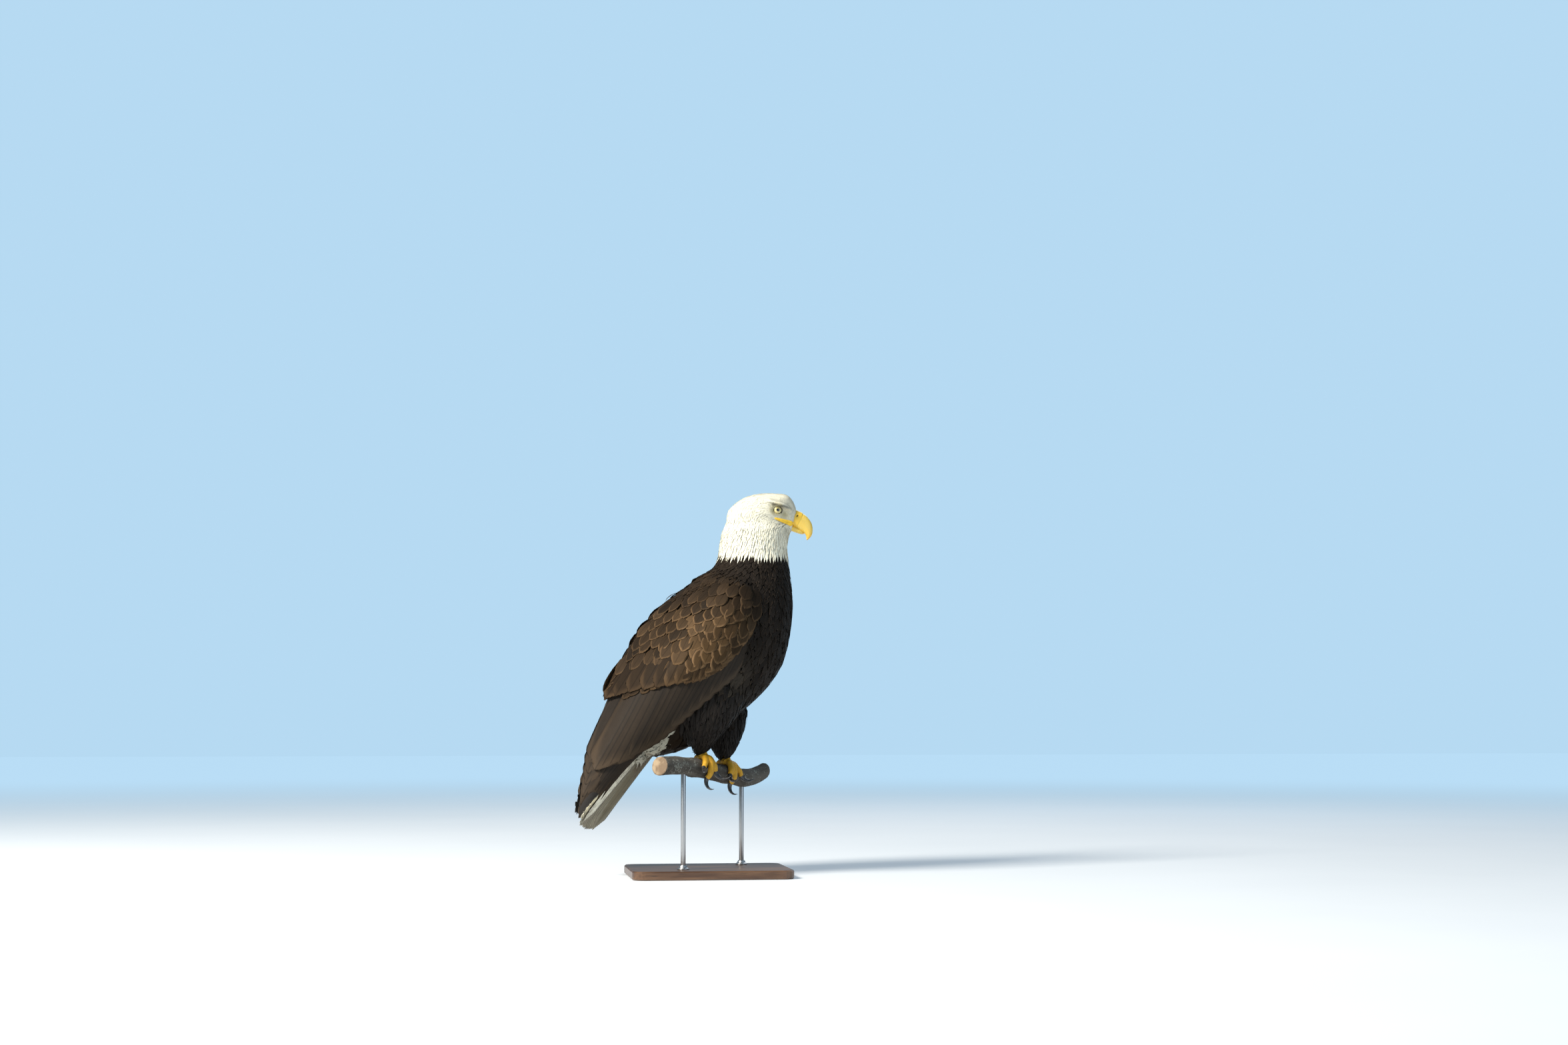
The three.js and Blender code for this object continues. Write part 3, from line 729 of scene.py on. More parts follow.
def modelled(bm: bmesh.types.BMesh, name: str, material: bpy.types.Material, slot: str, node: str) -> None:
    """Turns a bmesh into a piece with a finish, which stands for one of the frame's nodes."""
    enlist(adopt(finished(bm, name), name, material), slot, node)


def evaluated(piece: bpy.types.Object) -> bpy.types.Mesh:
    """The piece's mesh with its modifiers applied, as a new mesh; the piece itself is removed."""
    graph = bpy.context.evaluated_depsgraph_get()
    mesh = bpy.data.meshes.new_from_object(piece.evaluated_get(graph))
    bpy.data.objects.remove(piece)
    return mesh


def remeshed(mesh: bpy.types.Mesh, voxel: float, smooth: int) -> bpy.types.Mesh:
    """Joins a mesh's overlapping bodies into one smooth skin.

    Args:
        mesh: closed bodies.
        voxel: the size of the new faces.
        smooth: how many times it is smoothed.

    Returns:
        The new mesh.
    """
    piece = adopt(mesh, "remeshing")
    remesh = piece.modifiers.new("join", "REMESH")
    remesh.mode = "VOXEL"
    remesh.voxel_size = voxel
    soften = piece.modifiers.new("soften", "SMOOTH")
    soften.factor = 0.5
    soften.iterations = smooth
    return evaluated(piece)


def outer_shell(mesh: bpy.types.Mesh) -> bpy.types.Mesh:
    """Removes every closed shell of a mesh but the largest.

    Args:
        mesh: the mesh, which is changed.

    Returns:
        The same mesh.
    """
    bm = bmesh.new()
    bm.from_mesh(mesh)
    unseen, largest = set(bm.verts), set()
    while unseen:
        heap = [unseen.pop()]
        shell = set(heap)
        while heap:
            vert = heap.pop()
            beside = {edge.other_vert(vert) for edge in vert.link_edges} & unseen
            unseen -= beside
            shell |= beside
            heap.extend(beside)
        largest = max(largest, shell, key=len)
    bmesh.ops.delete(bm, geom=[vert for vert in bm.verts if vert not in largest], context="VERTS")
    bm.to_mesh(mesh)
    bm.free()
    return mesh


def unit(rows: Points) -> Points:
    """Rows scaled to length 1."""
    return rows / np.maximum(np.linalg.norm(rows, axis=-1, keepdims=True), 1e-9)


def smooth_step(values: Points, low: float, high: float) -> Points:
    """Eases values from 0 at low to 1 at high."""
    t = np.clip((values - low) / (high - low), 0.0, 1.0)
    return t * t * (3.0 - 2.0 * t)


def curve(stations: Sequence[Sequence[float]], t: float) -> np.ndarray:
    """A point on the Catmull-Rom curve through rows of numbers.

    Args:
        stations: the rows.
        t: 0 at the first row, 1 at the last.

    Returns:
        The row there.
    """
    rows = np.asarray(stations, dtype=float)
    place = min(max(t, 0.0), 1.0) * (len(rows) - 1)
    i = min(int(place), len(rows) - 2)
    u = place - i
    p0, p1, p2, p3 = (rows[min(max(i + k, 0), len(rows) - 1)] for k in (-1, 0, 1, 2))
    v0, v1 = (p2 - p0) / 2, (p3 - p1) / 2
    return (2 * p1 - 2 * p2 + v0 + v1) * u**3 + (3 * p2 - 3 * p1 - 2 * v0 - v1) * u**2 + v0 * u + p1


def rows_of(colour: Colour, count: int) -> Points:
    """One colour, for every feather or vertex."""
    return np.tile(np.array(colour), (count, 1))


@dataclass(frozen=True)
class Spot:
    """A soft-edged patch seen from the side: its middle, and how far it reaches in x and z."""

    x: float
    z: float
    long: float
    tall: float = math.inf

    def share(self, points: Points) -> Points:
        """How much of the patch's effect each point gets, 1 in its middle."""
        aside, above = (points[:, 0] - self.x) / self.long, (points[:, 2] - self.z) / self.tall
        return np.exp(-(aside**2) - above**2)


# ------------------------------------------------------------------ places
HEAD_PLACE = Vector((0.114, 0.0, 0.757))
HEAD_PITCH = math.radians(12)
EYE_CENTRE = (0.025, 0.0232, 0.0055)
EYE_RADIUS = 0.0125
CENTRE_LINE = (
    (0.190, 0.742), (0.150, 0.752), (0.118, 0.752), (0.098, 0.706), (0.093, 0.640), (0.083, 0.580),
    (0.045, 0.500), (-0.010, 0.430), (-0.070, 0.360), (-0.130, 0.285), (-0.190, 0.195), (-0.256, 0.100),
)
# Patches of colour in the row frame, and parts of the face in the skull's own coordinates.
# The coverts' faded patch is partly real worn plumage and partly painted light: palest where the wing is lit,
# darker towards its shaded rear.
FADED_AND_LIT = Spot(0.005, 0.485, 0.095, 0.075)
# The flank patch is painted light: paler where light falls on the flank below the wing's shadow.
SUNLIT_FLANK = Spot(0.058, 0.445, 0.030, 0.040)
LORE = Spot(0.047, -0.001, 0.011, 0.009)
LORE_HOLLOW = Spot(0.042, 0.003, 0.010, 0.0075)
LORE_DEPTH = 0.0030
FOREHEAD = Spot(0.043, 0.0, 0.017)
FOREHEAD_FULLNESS = 0.0046


def skull(x: float, y: float, z: float) -> Vector:
    """The row frame's point that is x forwards, y to the left and z up from the middle of the skull."""
    c, s = math.cos(HEAD_PITCH), math.sin(HEAD_PITCH)
    return Vector((x * c + z * s, y, z * c - x * s)) + HEAD_PLACE


def in_skull(points: Points) -> Points:
    """The skull's own coordinates of points of the row frame."""
    c, s = math.cos(HEAD_PITCH), math.sin(HEAD_PITCH)
    rel = points - np.array(HEAD_PLACE)
    return np.stack([rel[:, 0] * c - rel[:, 2] * s, rel[:, 1], rel[:, 0] * s + rel[:, 2] * c], 1)


def eye_gap(head: Points) -> Points:
    """How far each point of the skull's own coordinates is from the eye, seen from the side."""
    return np.hypot(head[:, 0] - EYE_CENTRE[0], head[:, 2] - EYE_CENTRE[2])


class CentreLine:
    """The line that runs down the middle of the bird, from its bill to its tail."""

    def __init__(self, steps: int = 120) -> None:
        """Divides the line evenly.

        Args:
            steps: how many points it gets.
        """
        self.rows = np.array([curve(CENTRE_LINE, i / (steps - 1)) for i in range(steps)])
        self.ahead = unit(np.gradient(self.rows, axis=0))
        lengths = np.linalg.norm(np.diff(self.rows, axis=0), axis=1)
        self.arc = np.concatenate([[0.0], np.cumsum(lengths)]) / lengths.sum()

    def nearest(self, points: Points) -> Points:
        """The index of the line's point nearest to each point, seen from the side."""
        gap = points[:, None, (0, 2)] - self.rows[None]
        return np.argmin((gap**2).sum(2), axis=1)

    def tailwards(self, points: Points) -> Points:
        """The line's own direction beside each point."""
        ahead = self.ahead[self.nearest(points)]
        return np.stack([ahead[:, 0], np.zeros(len(ahead)), ahead[:, 1]], 1)

    def unwrap(self, points: Points) -> Points:
        """A point's place on the skin, unrolled from the line: round it, and along it.

        Args:
            points: places on or near the skin.

        Returns:
            Two numbers from 0 to 1 for each.
        """
        index = self.nearest(points)
        gap = points[:, (0, 2)] - self.rows[index]
        ahead = self.ahead[index]
        out = gap[:, 0] * ahead[:, 1] - gap[:, 1] * ahead[:, 0]
        along = self.arc[index] + (gap * ahead).sum(1)
        return np.stack([np.arctan2(points[:, 1], out) / math.tau + 0.5, along], 1)


# ------------------------------------------------------------------ form and markings
class Region(Enum):
    """The regions of the coat, by the frame's nodes."""

    HEAD = ("head",)
    NECK = ("neck",)
    TRUNK = ("trunk",)
    WING = ("wing_right", "wing_left")
    PRIMARY = ("primaries_right", "primaries_left")
    TAIL = ("tail",)
    THIGH = ("thigh_right", "thigh_left")

    @property
    def index(self) -> int:
        """The region's number."""
        return REGIONS.index(self)


REGIONS = list(Region)


def waver(points: Points, scale: float, shift: float = 0.0) -> Points:
    """A cheap smooth noise of -1 to 1 in space."""
    p = points * scale + shift
    first = np.sin(p[:, 0] + 1.7 * np.sin(p[:, 1] * 0.9 + p[:, 2]))
    second = np.sin(p[:, 2] * 1.3 + 1.3 * np.sin(p[:, 0] * 1.1 - p[:, 1]))
    return (first + second) / 2


def blend_colours(first: Points, second: Colour, share: Points) -> Points:
    """Rows of colour, drawn towards one colour."""
    return first + (np.array(second) - first) * np.clip(share, 0, 1)[:, None]


@dataclass
class Markings:
    """The colours of skin and coat, by place."""

    collar: float = 0.688
    collar_drop: float = 0.008
    vent_x: float = -0.062
    vent_z: float = 0.335

    def white_share(self, points: Points, regions: Points) -> Points:
        """How white the coat is: 1 on the head, neck, vent and tail, else 0.

        Args:
            points: places on the coat.
            regions: the index of each place's region.

        Returns:
            One number for each point.
        """
        side = np.clip(np.abs(points[:, 1]) / 0.05, 0, 1)
        collar = self.collar - self.collar_drop * side + 0.004 * waver(points, 260.0)
        white = points[:, 2] > collar
        vent = (points[:, 0] < self.vent_x) & (points[:, 2] < self.vent_z)
        vent &= regions == Region.TRUNK.index
        tail = regions == Region.TAIL.index
        return (white | vent | tail).astype(float)

    def colours(self, points: Points, regions: Points) -> Points:
        """The colour of the skin or coat at each point.

        Args:
            points: places on the coat.
            regions: the index of each place's region.

        Returns:
            Rows of red, green and blue.
        """
        made = rows_of(PALETTE.brown, len(points))
        wing = regions == Region.WING.index
        # Partly painted light: the wing is paler in the lit middle of its coverts and darker towards the
        # shaded rear.
        faded_and_lit = 0.80 * FADED_AND_LIT.share(points) + 0.16 * waver(points, 38.0)
        made = blend_colours(made, PALETTE.faded, wing * faded_and_lit)
        # The breast is darker towards the front. This is partly the real dark-brown breast and partly painted
        # shade, as the breast faces away from the light.
        breast = smooth_step(points[:, 0], -0.01, 0.08) * ~wing
        made = blend_colours(made, PALETTE.dark, breast * 0.75)
        # Painted light: the flank is made paler where it is lit below the wing.
        made = blend_colours(made, PALETTE.flank_sunlit, SUNLIT_FLANK.share(points) * (np.abs(points[:, 1]) > 0.05) * ~wing)
        dark = np.isin(regions, [Region.PRIMARY.index, Region.THIGH.index])
        made = blend_colours(made, PALETTE.dark, dark * 0.8)
        white = self.white_share(points, regions)
        made = blend_colours(made, PALETTE.white, white)
        tail = regions == Region.TAIL.index
        made = blend_colours(made, PALETTE.cream, tail * 0.25)
        smudge = np.clip(waver(points, 90.0, 4.0) + 0.2 * waver(points, 300.0), 0, 1)
        made = blend_colours(made, PALETTE.smudge, tail * smudge * 0.55)
        return self._face(made, points, white)

    @staticmethod
    def _face(made: Points, points: Points, white: Points) -> Points:
        """Adds the bare yellowish lores, the dusky rim round the eye and a painted shadow line under the
        brow.

        Args:
            made: the colours so far.
            points: their places.
            white: the share of white.

        Returns:
            The colours with the face's own.
        """
        head = in_skull(points)
        side = np.abs(head[:, 1])
        made = blend_colours(made, PALETTE.lore, LORE.share(head) * (side > 0.012) * white)
        rim = (1 - smooth_step(eye_gap(head), 0.0105, 0.0150)) * (side > 0.02)
        made = blend_colours(made, PALETTE.lore, rim * 0.9)
        # Painted shadow: a dark line under the overhanging brow, in the lid's colour.
        brow_shadow = np.exp(-(((head[:, 2] - 0.0135) / 0.0022) ** 2)) * smooth_step(head[:, 0], 0.006, 0.018)
        brow_shadow *= (1 - smooth_step(head[:, 0], 0.046, 0.058)) * (side > 0.016)
        return blend_colours(made, PALETTE.lid, brow_shadow * 0.75)


class Surface:
    """A closed mesh that feathers are laid on."""

    def __init__(self, mesh: bpy.types.Mesh, regions: Points) -> None:
        """Reads a mesh.

        Args:
            mesh: a closed mesh.
            regions: the index of each vertex's region.
        """
        self.points = coordinates(mesh)
        mesh.calc_loop_triangles()
        flat = np.empty(len(mesh.loop_triangles) * 3, dtype=np.int32)
        mesh.loop_triangles.foreach_get("vertices", flat)
        self.triangles = flat.reshape(-1, 3)
        normals = np.empty(len(mesh.vertices) * 3, dtype=np.float32)
        mesh.vertices.foreach_get("normal", normals)
        self.normals = normals.reshape(-1, 3).astype(float)
        self.regions = regions
        self.tree = BVHTree.FromPolygons(self.points.tolist(), self.triangles.tolist())

    def nearest(self, places: Points) -> tuple[Points, Points, Points]:
        """The surface's nearest points.

        Args:
            places: rows of places.

        Returns:
            The nearest points, their smooth normals and their regions.
        """
        found = [self.tree.find_nearest(place) for place in places.tolist()]
        points = np.array([hit[0] for hit in found])
        corners = self.triangles[[hit[2] for hit in found]]
        normals = self._weighted(points, corners)
        return points, normals, self.regions[corners[:, 0]]

    def _weighted(self, points: Points, corners: Points) -> Points:
        """Vertex normals, weighted by how near each corner is."""
        gaps = np.linalg.norm(self.points[corners] - points[:, None], axis=2)
        weights = 1.0 / (gaps + 2e-4)
        return unit((self.normals[corners] * weights[:, :, None]).sum(1))

    def scattered(self, count: int, rng: np.random.Generator, sparse: Callable[[Points], Points]) -> Points:
        """Random places on the surface.

        Args:
            count: how many.
            rng: the source of chance.
            sparse: gives the wanted spacing at rows of points; places are thinner where it is wide.

        Returns:
            Rows of places.
        """
        a, b, c = (self.points[self.triangles[:, i]] for i in range(3))
        area = np.linalg.norm(np.cross(b - a, c - a), axis=1)
        weight = area / np.maximum(sparse((a + b + c) / 3), 1e-4) ** 2
        chosen = rng.choice(len(area), count, p=weight / weight.sum())
        u, v = np.sqrt(rng.random(count)), rng.random(count)
        shares = np.stack([1 - u, u * (1 - v), u * v], 1)[:, :, None]
        return (np.stack([a[chosen], b[chosen], c[chosen]], 1) * shares).sum(1)


def copy_of(*names: str, grow: float = 0.0) -> bmesh.types.BMesh:
    """Closed copies of the frame's nodes, in one bmesh.

    Args:
        *names: the nodes.
        grow: how far each is pushed out.

    Returns:
        The bmesh.
    """
    bm = bmesh.new()
    for name in names:
        part = bmesh.new()
        part.from_mesh(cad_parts[name].data)
        bmesh.ops.remove_doubles(part, verts=part.verts, dist=1e-5)
        part.normal_update()
        for vert in part.verts:
            vert.co += vert.normal * grow
        spare = bpy.data.meshes.new("copy")
        part.to_mesh(spare)
        part.free()
        bm.from_mesh(spare)
        bpy.data.meshes.remove(spare)
    return bm


@dataclass
class Form:
    """The bird's outer shape, as closed skins that everything else is laid on."""

    voxel: float = 0.0048
    head_voxel: float = 0.0018
    bridge: float = 0.0006
    brow: tuple = (
        (-0.004, 0.0322, 0.0205, 0.0040),
        (0.009, 0.0374, 0.0184, 0.0048),
        (0.022, 0.0400, 0.0168, 0.0050),
        (0.034, 0.0380, 0.0160, 0.0050),
        (0.046, 0.0298, 0.0146, 0.0046),
        (0.058, 0.0182, 0.0114, 0.0034),
    )
    lid_spread: float = 1.00
    lid_radius: float = 0.0022

    def __post_init__(self) -> None:
        """Makes the two surfaces."""
        names = [name for region in REGIONS for name in region.value]
        self.trees = [self._tree(region) for region in REGIONS]
        body = outer_shell(remeshed(finished(copy_of(*names, grow=self.bridge), "body_form"), self.voxel, 7))
        self.body_mesh = body
        self.body = Surface(body, self.label(coordinates(body)))
        bm = copy_of("head", "neck", grow=self.bridge)
        self._add_brows(bm)
        head = outer_shell(remeshed(finished(bm, "head_form"), self.head_voxel, 5))
        self._shape_face(head)
        self.head_mesh = head
        self.head = Surface(head, self.label(coordinates(head)))

    def _add_brows(self, bm: bmesh.types.BMesh) -> None:
        """Adds the bony ridges that overhang the eyes.

        Args:
            bm: the head's copy.
        """
        for side in Side:
            line = []
            for i in range(25):
                x, y, z, _ = curve(self.brow, i / 24)
                line.append(skull(x, y * side.value, z))

            def radius(along: float, _angle: float) -> float:
                """The ridge's radius, tapered at both ends."""
                return curve(self.brow, along)[3] * (0.4 + 0.6 * min(1.0, along * 6, (1 - along) * 6))

            tube(bm, line, Vector((0, side.value, 0)), radius, 14)
            self._add_lid(bm, side)

    def _add_lid(self, bm: bmesh.types.BMesh, side: Side) -> None:
        """Adds the soft swelling of the lids round one eyeball.

        Args:
            bm: the head's copy.
            side: the eye's side.
        """
        grid = bmesh.ops.create_grid(bm, x_segments=12, y_segments=48, size=0.5)["verts"]
        for vert in grid:
            turn, roll = math.tau * (vert.co.y + 0.5), math.tau * (vert.co.x + 0.5)
            radial = Vector((math.cos(turn), 0.0, math.sin(turn)))
            out = Vector((0.0, math.cos(self.lid_spread), 0.0)) + radial * math.sin(self.lid_spread)
            aside = radial * math.cos(self.lid_spread) - Vector((0.0, math.sin(self.lid_spread), 0.0))
            spot = Vector(EYE_CENTRE) + out * (EYE_RADIUS + self.lid_radius * math.cos(roll))
            spot += aside * (self.lid_radius * math.sin(roll))
            vert.co = skull(spot.x, spot.y * side.value, spot.z)
        bmesh.ops.remove_doubles(bm, verts=grid, dist=1e-6)

    @staticmethod
    def _shape_face(mesh: bpy.types.Mesh) -> None:
        """Sinks the face between bill and eye, and fills out the forehead.

        Args:
            mesh: the head's skin.
        """
        points = coordinates(mesh)
        head = in_skull(points)
        depth = LORE_HOLLOW.share(head) * smooth_step(np.abs(head[:, 1]), 0.008, 0.018)
        points[:, 1] -= np.sign(points[:, 1]) * depth * LORE_DEPTH
        full = FOREHEAD.share(head) * smooth_step(head[:, 2], 0.013, 0.030)
        points += full[:, None] * np.array(skull(0.0, 0.0, FOREHEAD_FULLNESS) - HEAD_PLACE)
        mesh.vertices.foreach_set("co", points.astype(np.float32).ravel())
        mesh.update()

    @staticmethod
    def _tree(region: Region) -> BVHTree:
        """A search tree of one region's nodes."""
        bm = copy_of(*region.value)
        tree = BVHTree.FromBMesh(bm)
        bm.free()
        return tree

    def label(self, points: Points) -> Points:
        """The index of the region nearest to each point."""
        gaps = [[tree.find_nearest(p)[3] for p in points.tolist()] for tree in self.trees]
        return np.argmin(np.array(gaps), axis=0)


# ------------------------------------------------------------------ feathers
class Outline(Enum):
    """The outline of a feather's vane."""

    ROUND = "round"
    POINTED = "pointed"
    STRAP = "strap"

    def spread(self, t: Points) -> Points:
        """Half the vane's width at each step along it, as a share of its widest."""
        if self is Outline.ROUND:
            start = np.minimum(1.0, 0.42 + 1.5 * t)
            tip = np.clip((t - 0.60) / 0.40, 0, 1)
            return start * np.sqrt(1 - 0.86 * tip**2)
        if self is Outline.POINTED:
            start = np.minimum(1.0, 0.45 + 1.9 * t)
            tip = np.clip((t - 0.32) / 0.68, 0, 1)
            return start * (1 - 0.90 * tip**1.5)
        start = np.minimum(1.0, 0.35 + 3.2 * t)
        tip = np.clip((t - 0.88) / 0.12, 0, 1)
        return start * np.sqrt(1 - 0.80 * tip**2)


@dataclass(frozen=True)
class Vane:
    """The build of one kind of feather."""

    outline: Outline = Outline.ROUND
    rows: int = 5
    columns: int = 4
    camber: float = 0.16
    thickness: float = 0.0004
    tip_arc: float = 0.10
    crowd: float = 1.35
    sink: float = 0.0016
    rise: float = 0.0024
    cling: float = 0.85
    bend: float = 0.5
    fray: float = 0.03
    waver: float = 0.06
    shaft: float = 0.0

    def steps(self) -> Points:
        """Where the rows lie along the feather, closer together at its tip."""
        return 1 - (1 - np.linspace(0, 1, self.rows + 1)) ** self.crowd

    def faces(self) -> list[tuple[int, ...]]:
        """The faces of one feather, by the order of its vertices.

        Returns:
            The top's, the underside's and the two ends' faces.
        """
        wide = self.columns + 1
        under = (self.rows + 1) * wide
        made = []
        for r in range(self.rows):
            for c in range(self.columns):
                a = r * wide + c
                made.append((a, a + 1, a + wide + 1, a + wide))
            low, high = under + r, under + r + 1
            a = r * wide
            made.append((low, a, a + wide, high))
            made.append((a + self.columns, low, high, a + wide + self.columns))
        made.append((*range(self.columns, -1, -1), under))
        last = self.rows * wide
        made.append((*range(last, last + wide), under + self.rows))
        return made


HEAD_VANE = Vane(
    Outline.POINTED, rows=3, columns=2, camber=0.10, thickness=0.0002, sink=0.0008, rise=0.0009,
    cling=0.97, fray=0.05, tip_arc=0.06,
)
LID_VANE = replace(HEAD_VANE, camber=0.12, sink=-0.0001, rise=0.0005)
HACKLE_VANE = replace(
    HEAD_VANE, rows=5, camber=0.07, sink=0.0010, rise=0.0026, cling=0.86, fray=0.06, tip_arc=0.05
)
LEG_VANE = Vane(
    Outline.POINTED, rows=5, columns=2, camber=0.16, thickness=0.0003, sink=0.0018, rise=0.0040,
    cling=0.6, fray=0.06,
)
TRUNK_VANE = Vane(
    Outline.ROUND, rows=6, columns=4, camber=0.10, thickness=0.0003, sink=0.0020, rise=0.0034,
    cling=0.65, fray=0.05, tip_arc=0.20,
)
SHOULDER_VANE = replace(TRUNK_VANE, camber=0.08, sink=0.001, cling=0.92, fray=0.03, tip_arc=0.14)
COVERT_VANE = Vane(
    Outline.ROUND, rows=7, columns=6, camber=0.09, thickness=0.0003, sink=0.0, rise=0.0030,
    cling=0.8, fray=0.022, waver=0.03, tip_arc=0.12,
)
GREATER_VANE = Vane(
    Outline.ROUND, rows=8, columns=6, camber=0.06, thickness=0.0004, crowd=1.3, fray=0.008,
    waver=0.02, tip_arc=0.09, shaft=0.0003,
)
QUILL_VANE = Vane(
    Outline.STRAP, rows=22, columns=8, camber=0.05, thickness=0.0006, crowd=1.5, fray=0.004,
    waver=0.012, tip_arc=0.07, shaft=0.0005,
)
TAIL_VANE = replace(QUILL_VANE, fray=0.006, tip_arc=0.08)


@dataclass
class Quills:
    """The places, directions and sizes of the feathers of one tract."""

    roots: Points
    ways: Points
    lengths: Points
    widths: Points
    regions: Points
    lifts: Points | None = None
    tints: Points | None = None

    def chosen(self, keep: Points) -> "Quills":
        """Only some of the feathers."""
        parts = (self.roots, self.ways, self.lengths, self.widths, self.regions, self.lifts, self.tints)
        return Quills(*(None if part is None else part[keep] for part in parts))


@dataclass
class Blades:
    """Long feathers drawn flat on a sheet: their ends, widths, heights and colours."""

    roots: Points
    tips: Points
    widths: Points
    lifts: Points
    tints: Points
    bow: float | Points = 0.0


@dataclass
class Grown:
    """Shaped feathers, ready to be joined."""

    bodies: Points
    lies: Points
    roots: Points
    tints: Points


class Sheet:
    """A smooth curved sheet that long feathers lie on, given by two flat coordinates."""

    def point(self, flat: Points) -> Points:
        """The sheet's points at rows of flat coordinates."""
        raise NotImplementedError

    def normal(self, flat: Points) -> Points:
        """The sheet's outward normals there, from two small steps along it."""
        step = 0.001
        along = self.point(flat + np.array([step, 0.0])) - self.point(flat - np.array([step, 0.0]))
        across = self.point(flat + np.array([0.0, step])) - self.point(flat - np.array([0.0, step]))
        made = unit(np.cross(along, across))
        return made * np.sign((made * self.outward()).sum(-1, keepdims=True))

    def outward(self) -> Points:
        """Roughly the way that the sheet faces."""
        raise NotImplementedError


@dataclass
class WingSheet(Sheet):
    """The outer side of one folded wing, fitted smoothly to the form; its flat coordinates are x and z."""

    tree: BVHTree
    side: Side
    middle: tuple[float, float] = (-0.08, 0.40)
    reach: float = 0.30
    outline: tuple = (
        (0.020, 0.600), (0.060, 0.560), (0.050, 0.500), (0.020, 0.440), (-0.030, 0.385), (-0.090, 0.335),
        (-0.145, 0.290), (-0.190, 0.245), (-0.222, 0.205), (-0.250, 0.160), (-0.266, 0.140),
        (-0.262, 0.170), (-0.246, 0.222), (-0.230, 0.275), (-0.212, 0.330), (-0.192, 0.380),
        (-0.166, 0.438), (-0.135, 0.490), (-0.098, 0.535), (-0.045, 0.580),
    )

    def __post_init__(self) -> None:
        """Fits the sheet to rays cast at the wing."""
        columns, rows = np.linspace(-0.27, 0.07, 70), np.linspace(0.13, 0.60, 95)
        grid = np.stack(np.meshgrid(columns, rows), 2).reshape(-1, 2)
        places = np.stack([grid[:, 0], np.zeros(len(grid)), grid[:, 1]], 1)
        rows, depths = [], []
        inward = Vector((0, -self.side.value, 0))
        for x, z in grid[polygon_holds(self.outline, places)].tolist():
            hit = self.tree.ray_cast(Vector((x, self.side.value * 0.3, z)), inward, 0.3)
            if hit[0] is not None:
                rows.append((x, z))
                depths.append(abs(hit[0].y))
        terms = self._terms(np.array(rows))
        self.shares = np.linalg.lstsq(terms, np.array(depths), rcond=None)[0]

    def _terms(self, flat: Points) -> Points:
        """The terms of the fit at rows of flat coordinates."""
        x = (flat[..., 0] - self.middle[0]) / self.reach
        z = (flat[..., 1] - self.middle[1]) / self.reach
        return np.stack([x**i * z**j for i in range(5) for j in range(5 - i)], -1)

    def point(self, flat: Points) -> Points:
        """The wing's points at rows of x and z."""
        depth = self._terms(flat) @ self.shares
        return np.stack([flat[..., 0], self.side.value * depth, flat[..., 1]], -1)

    def outward(self) -> Points:
        """Out to the bird's side."""
        return np.array([0.0, float(self.side.value), 0.0])


@dataclass
class TailSheet(Sheet):
    """The upper side of the tail: a shallow roof; its flat coordinates run across and along it."""

    root: Points
    ahead: Points
    wide: Points
    up: Points
    facing: int = 1
    roof: float = 2.6
    droop: float = 0.10

    def point(self, flat: Points) -> Points:
        """The tail's points at rows of distances across and along."""
        across, along = flat[..., :1], flat[..., 1:]
        high = -self.roof * across**2 - self.droop * along**2
        return self.root + self.wide * across + self.ahead * along + self.up * high

    def outward(self) -> Points:
        """Out of the tail's upper or lower side."""
        return self.up * self.facing


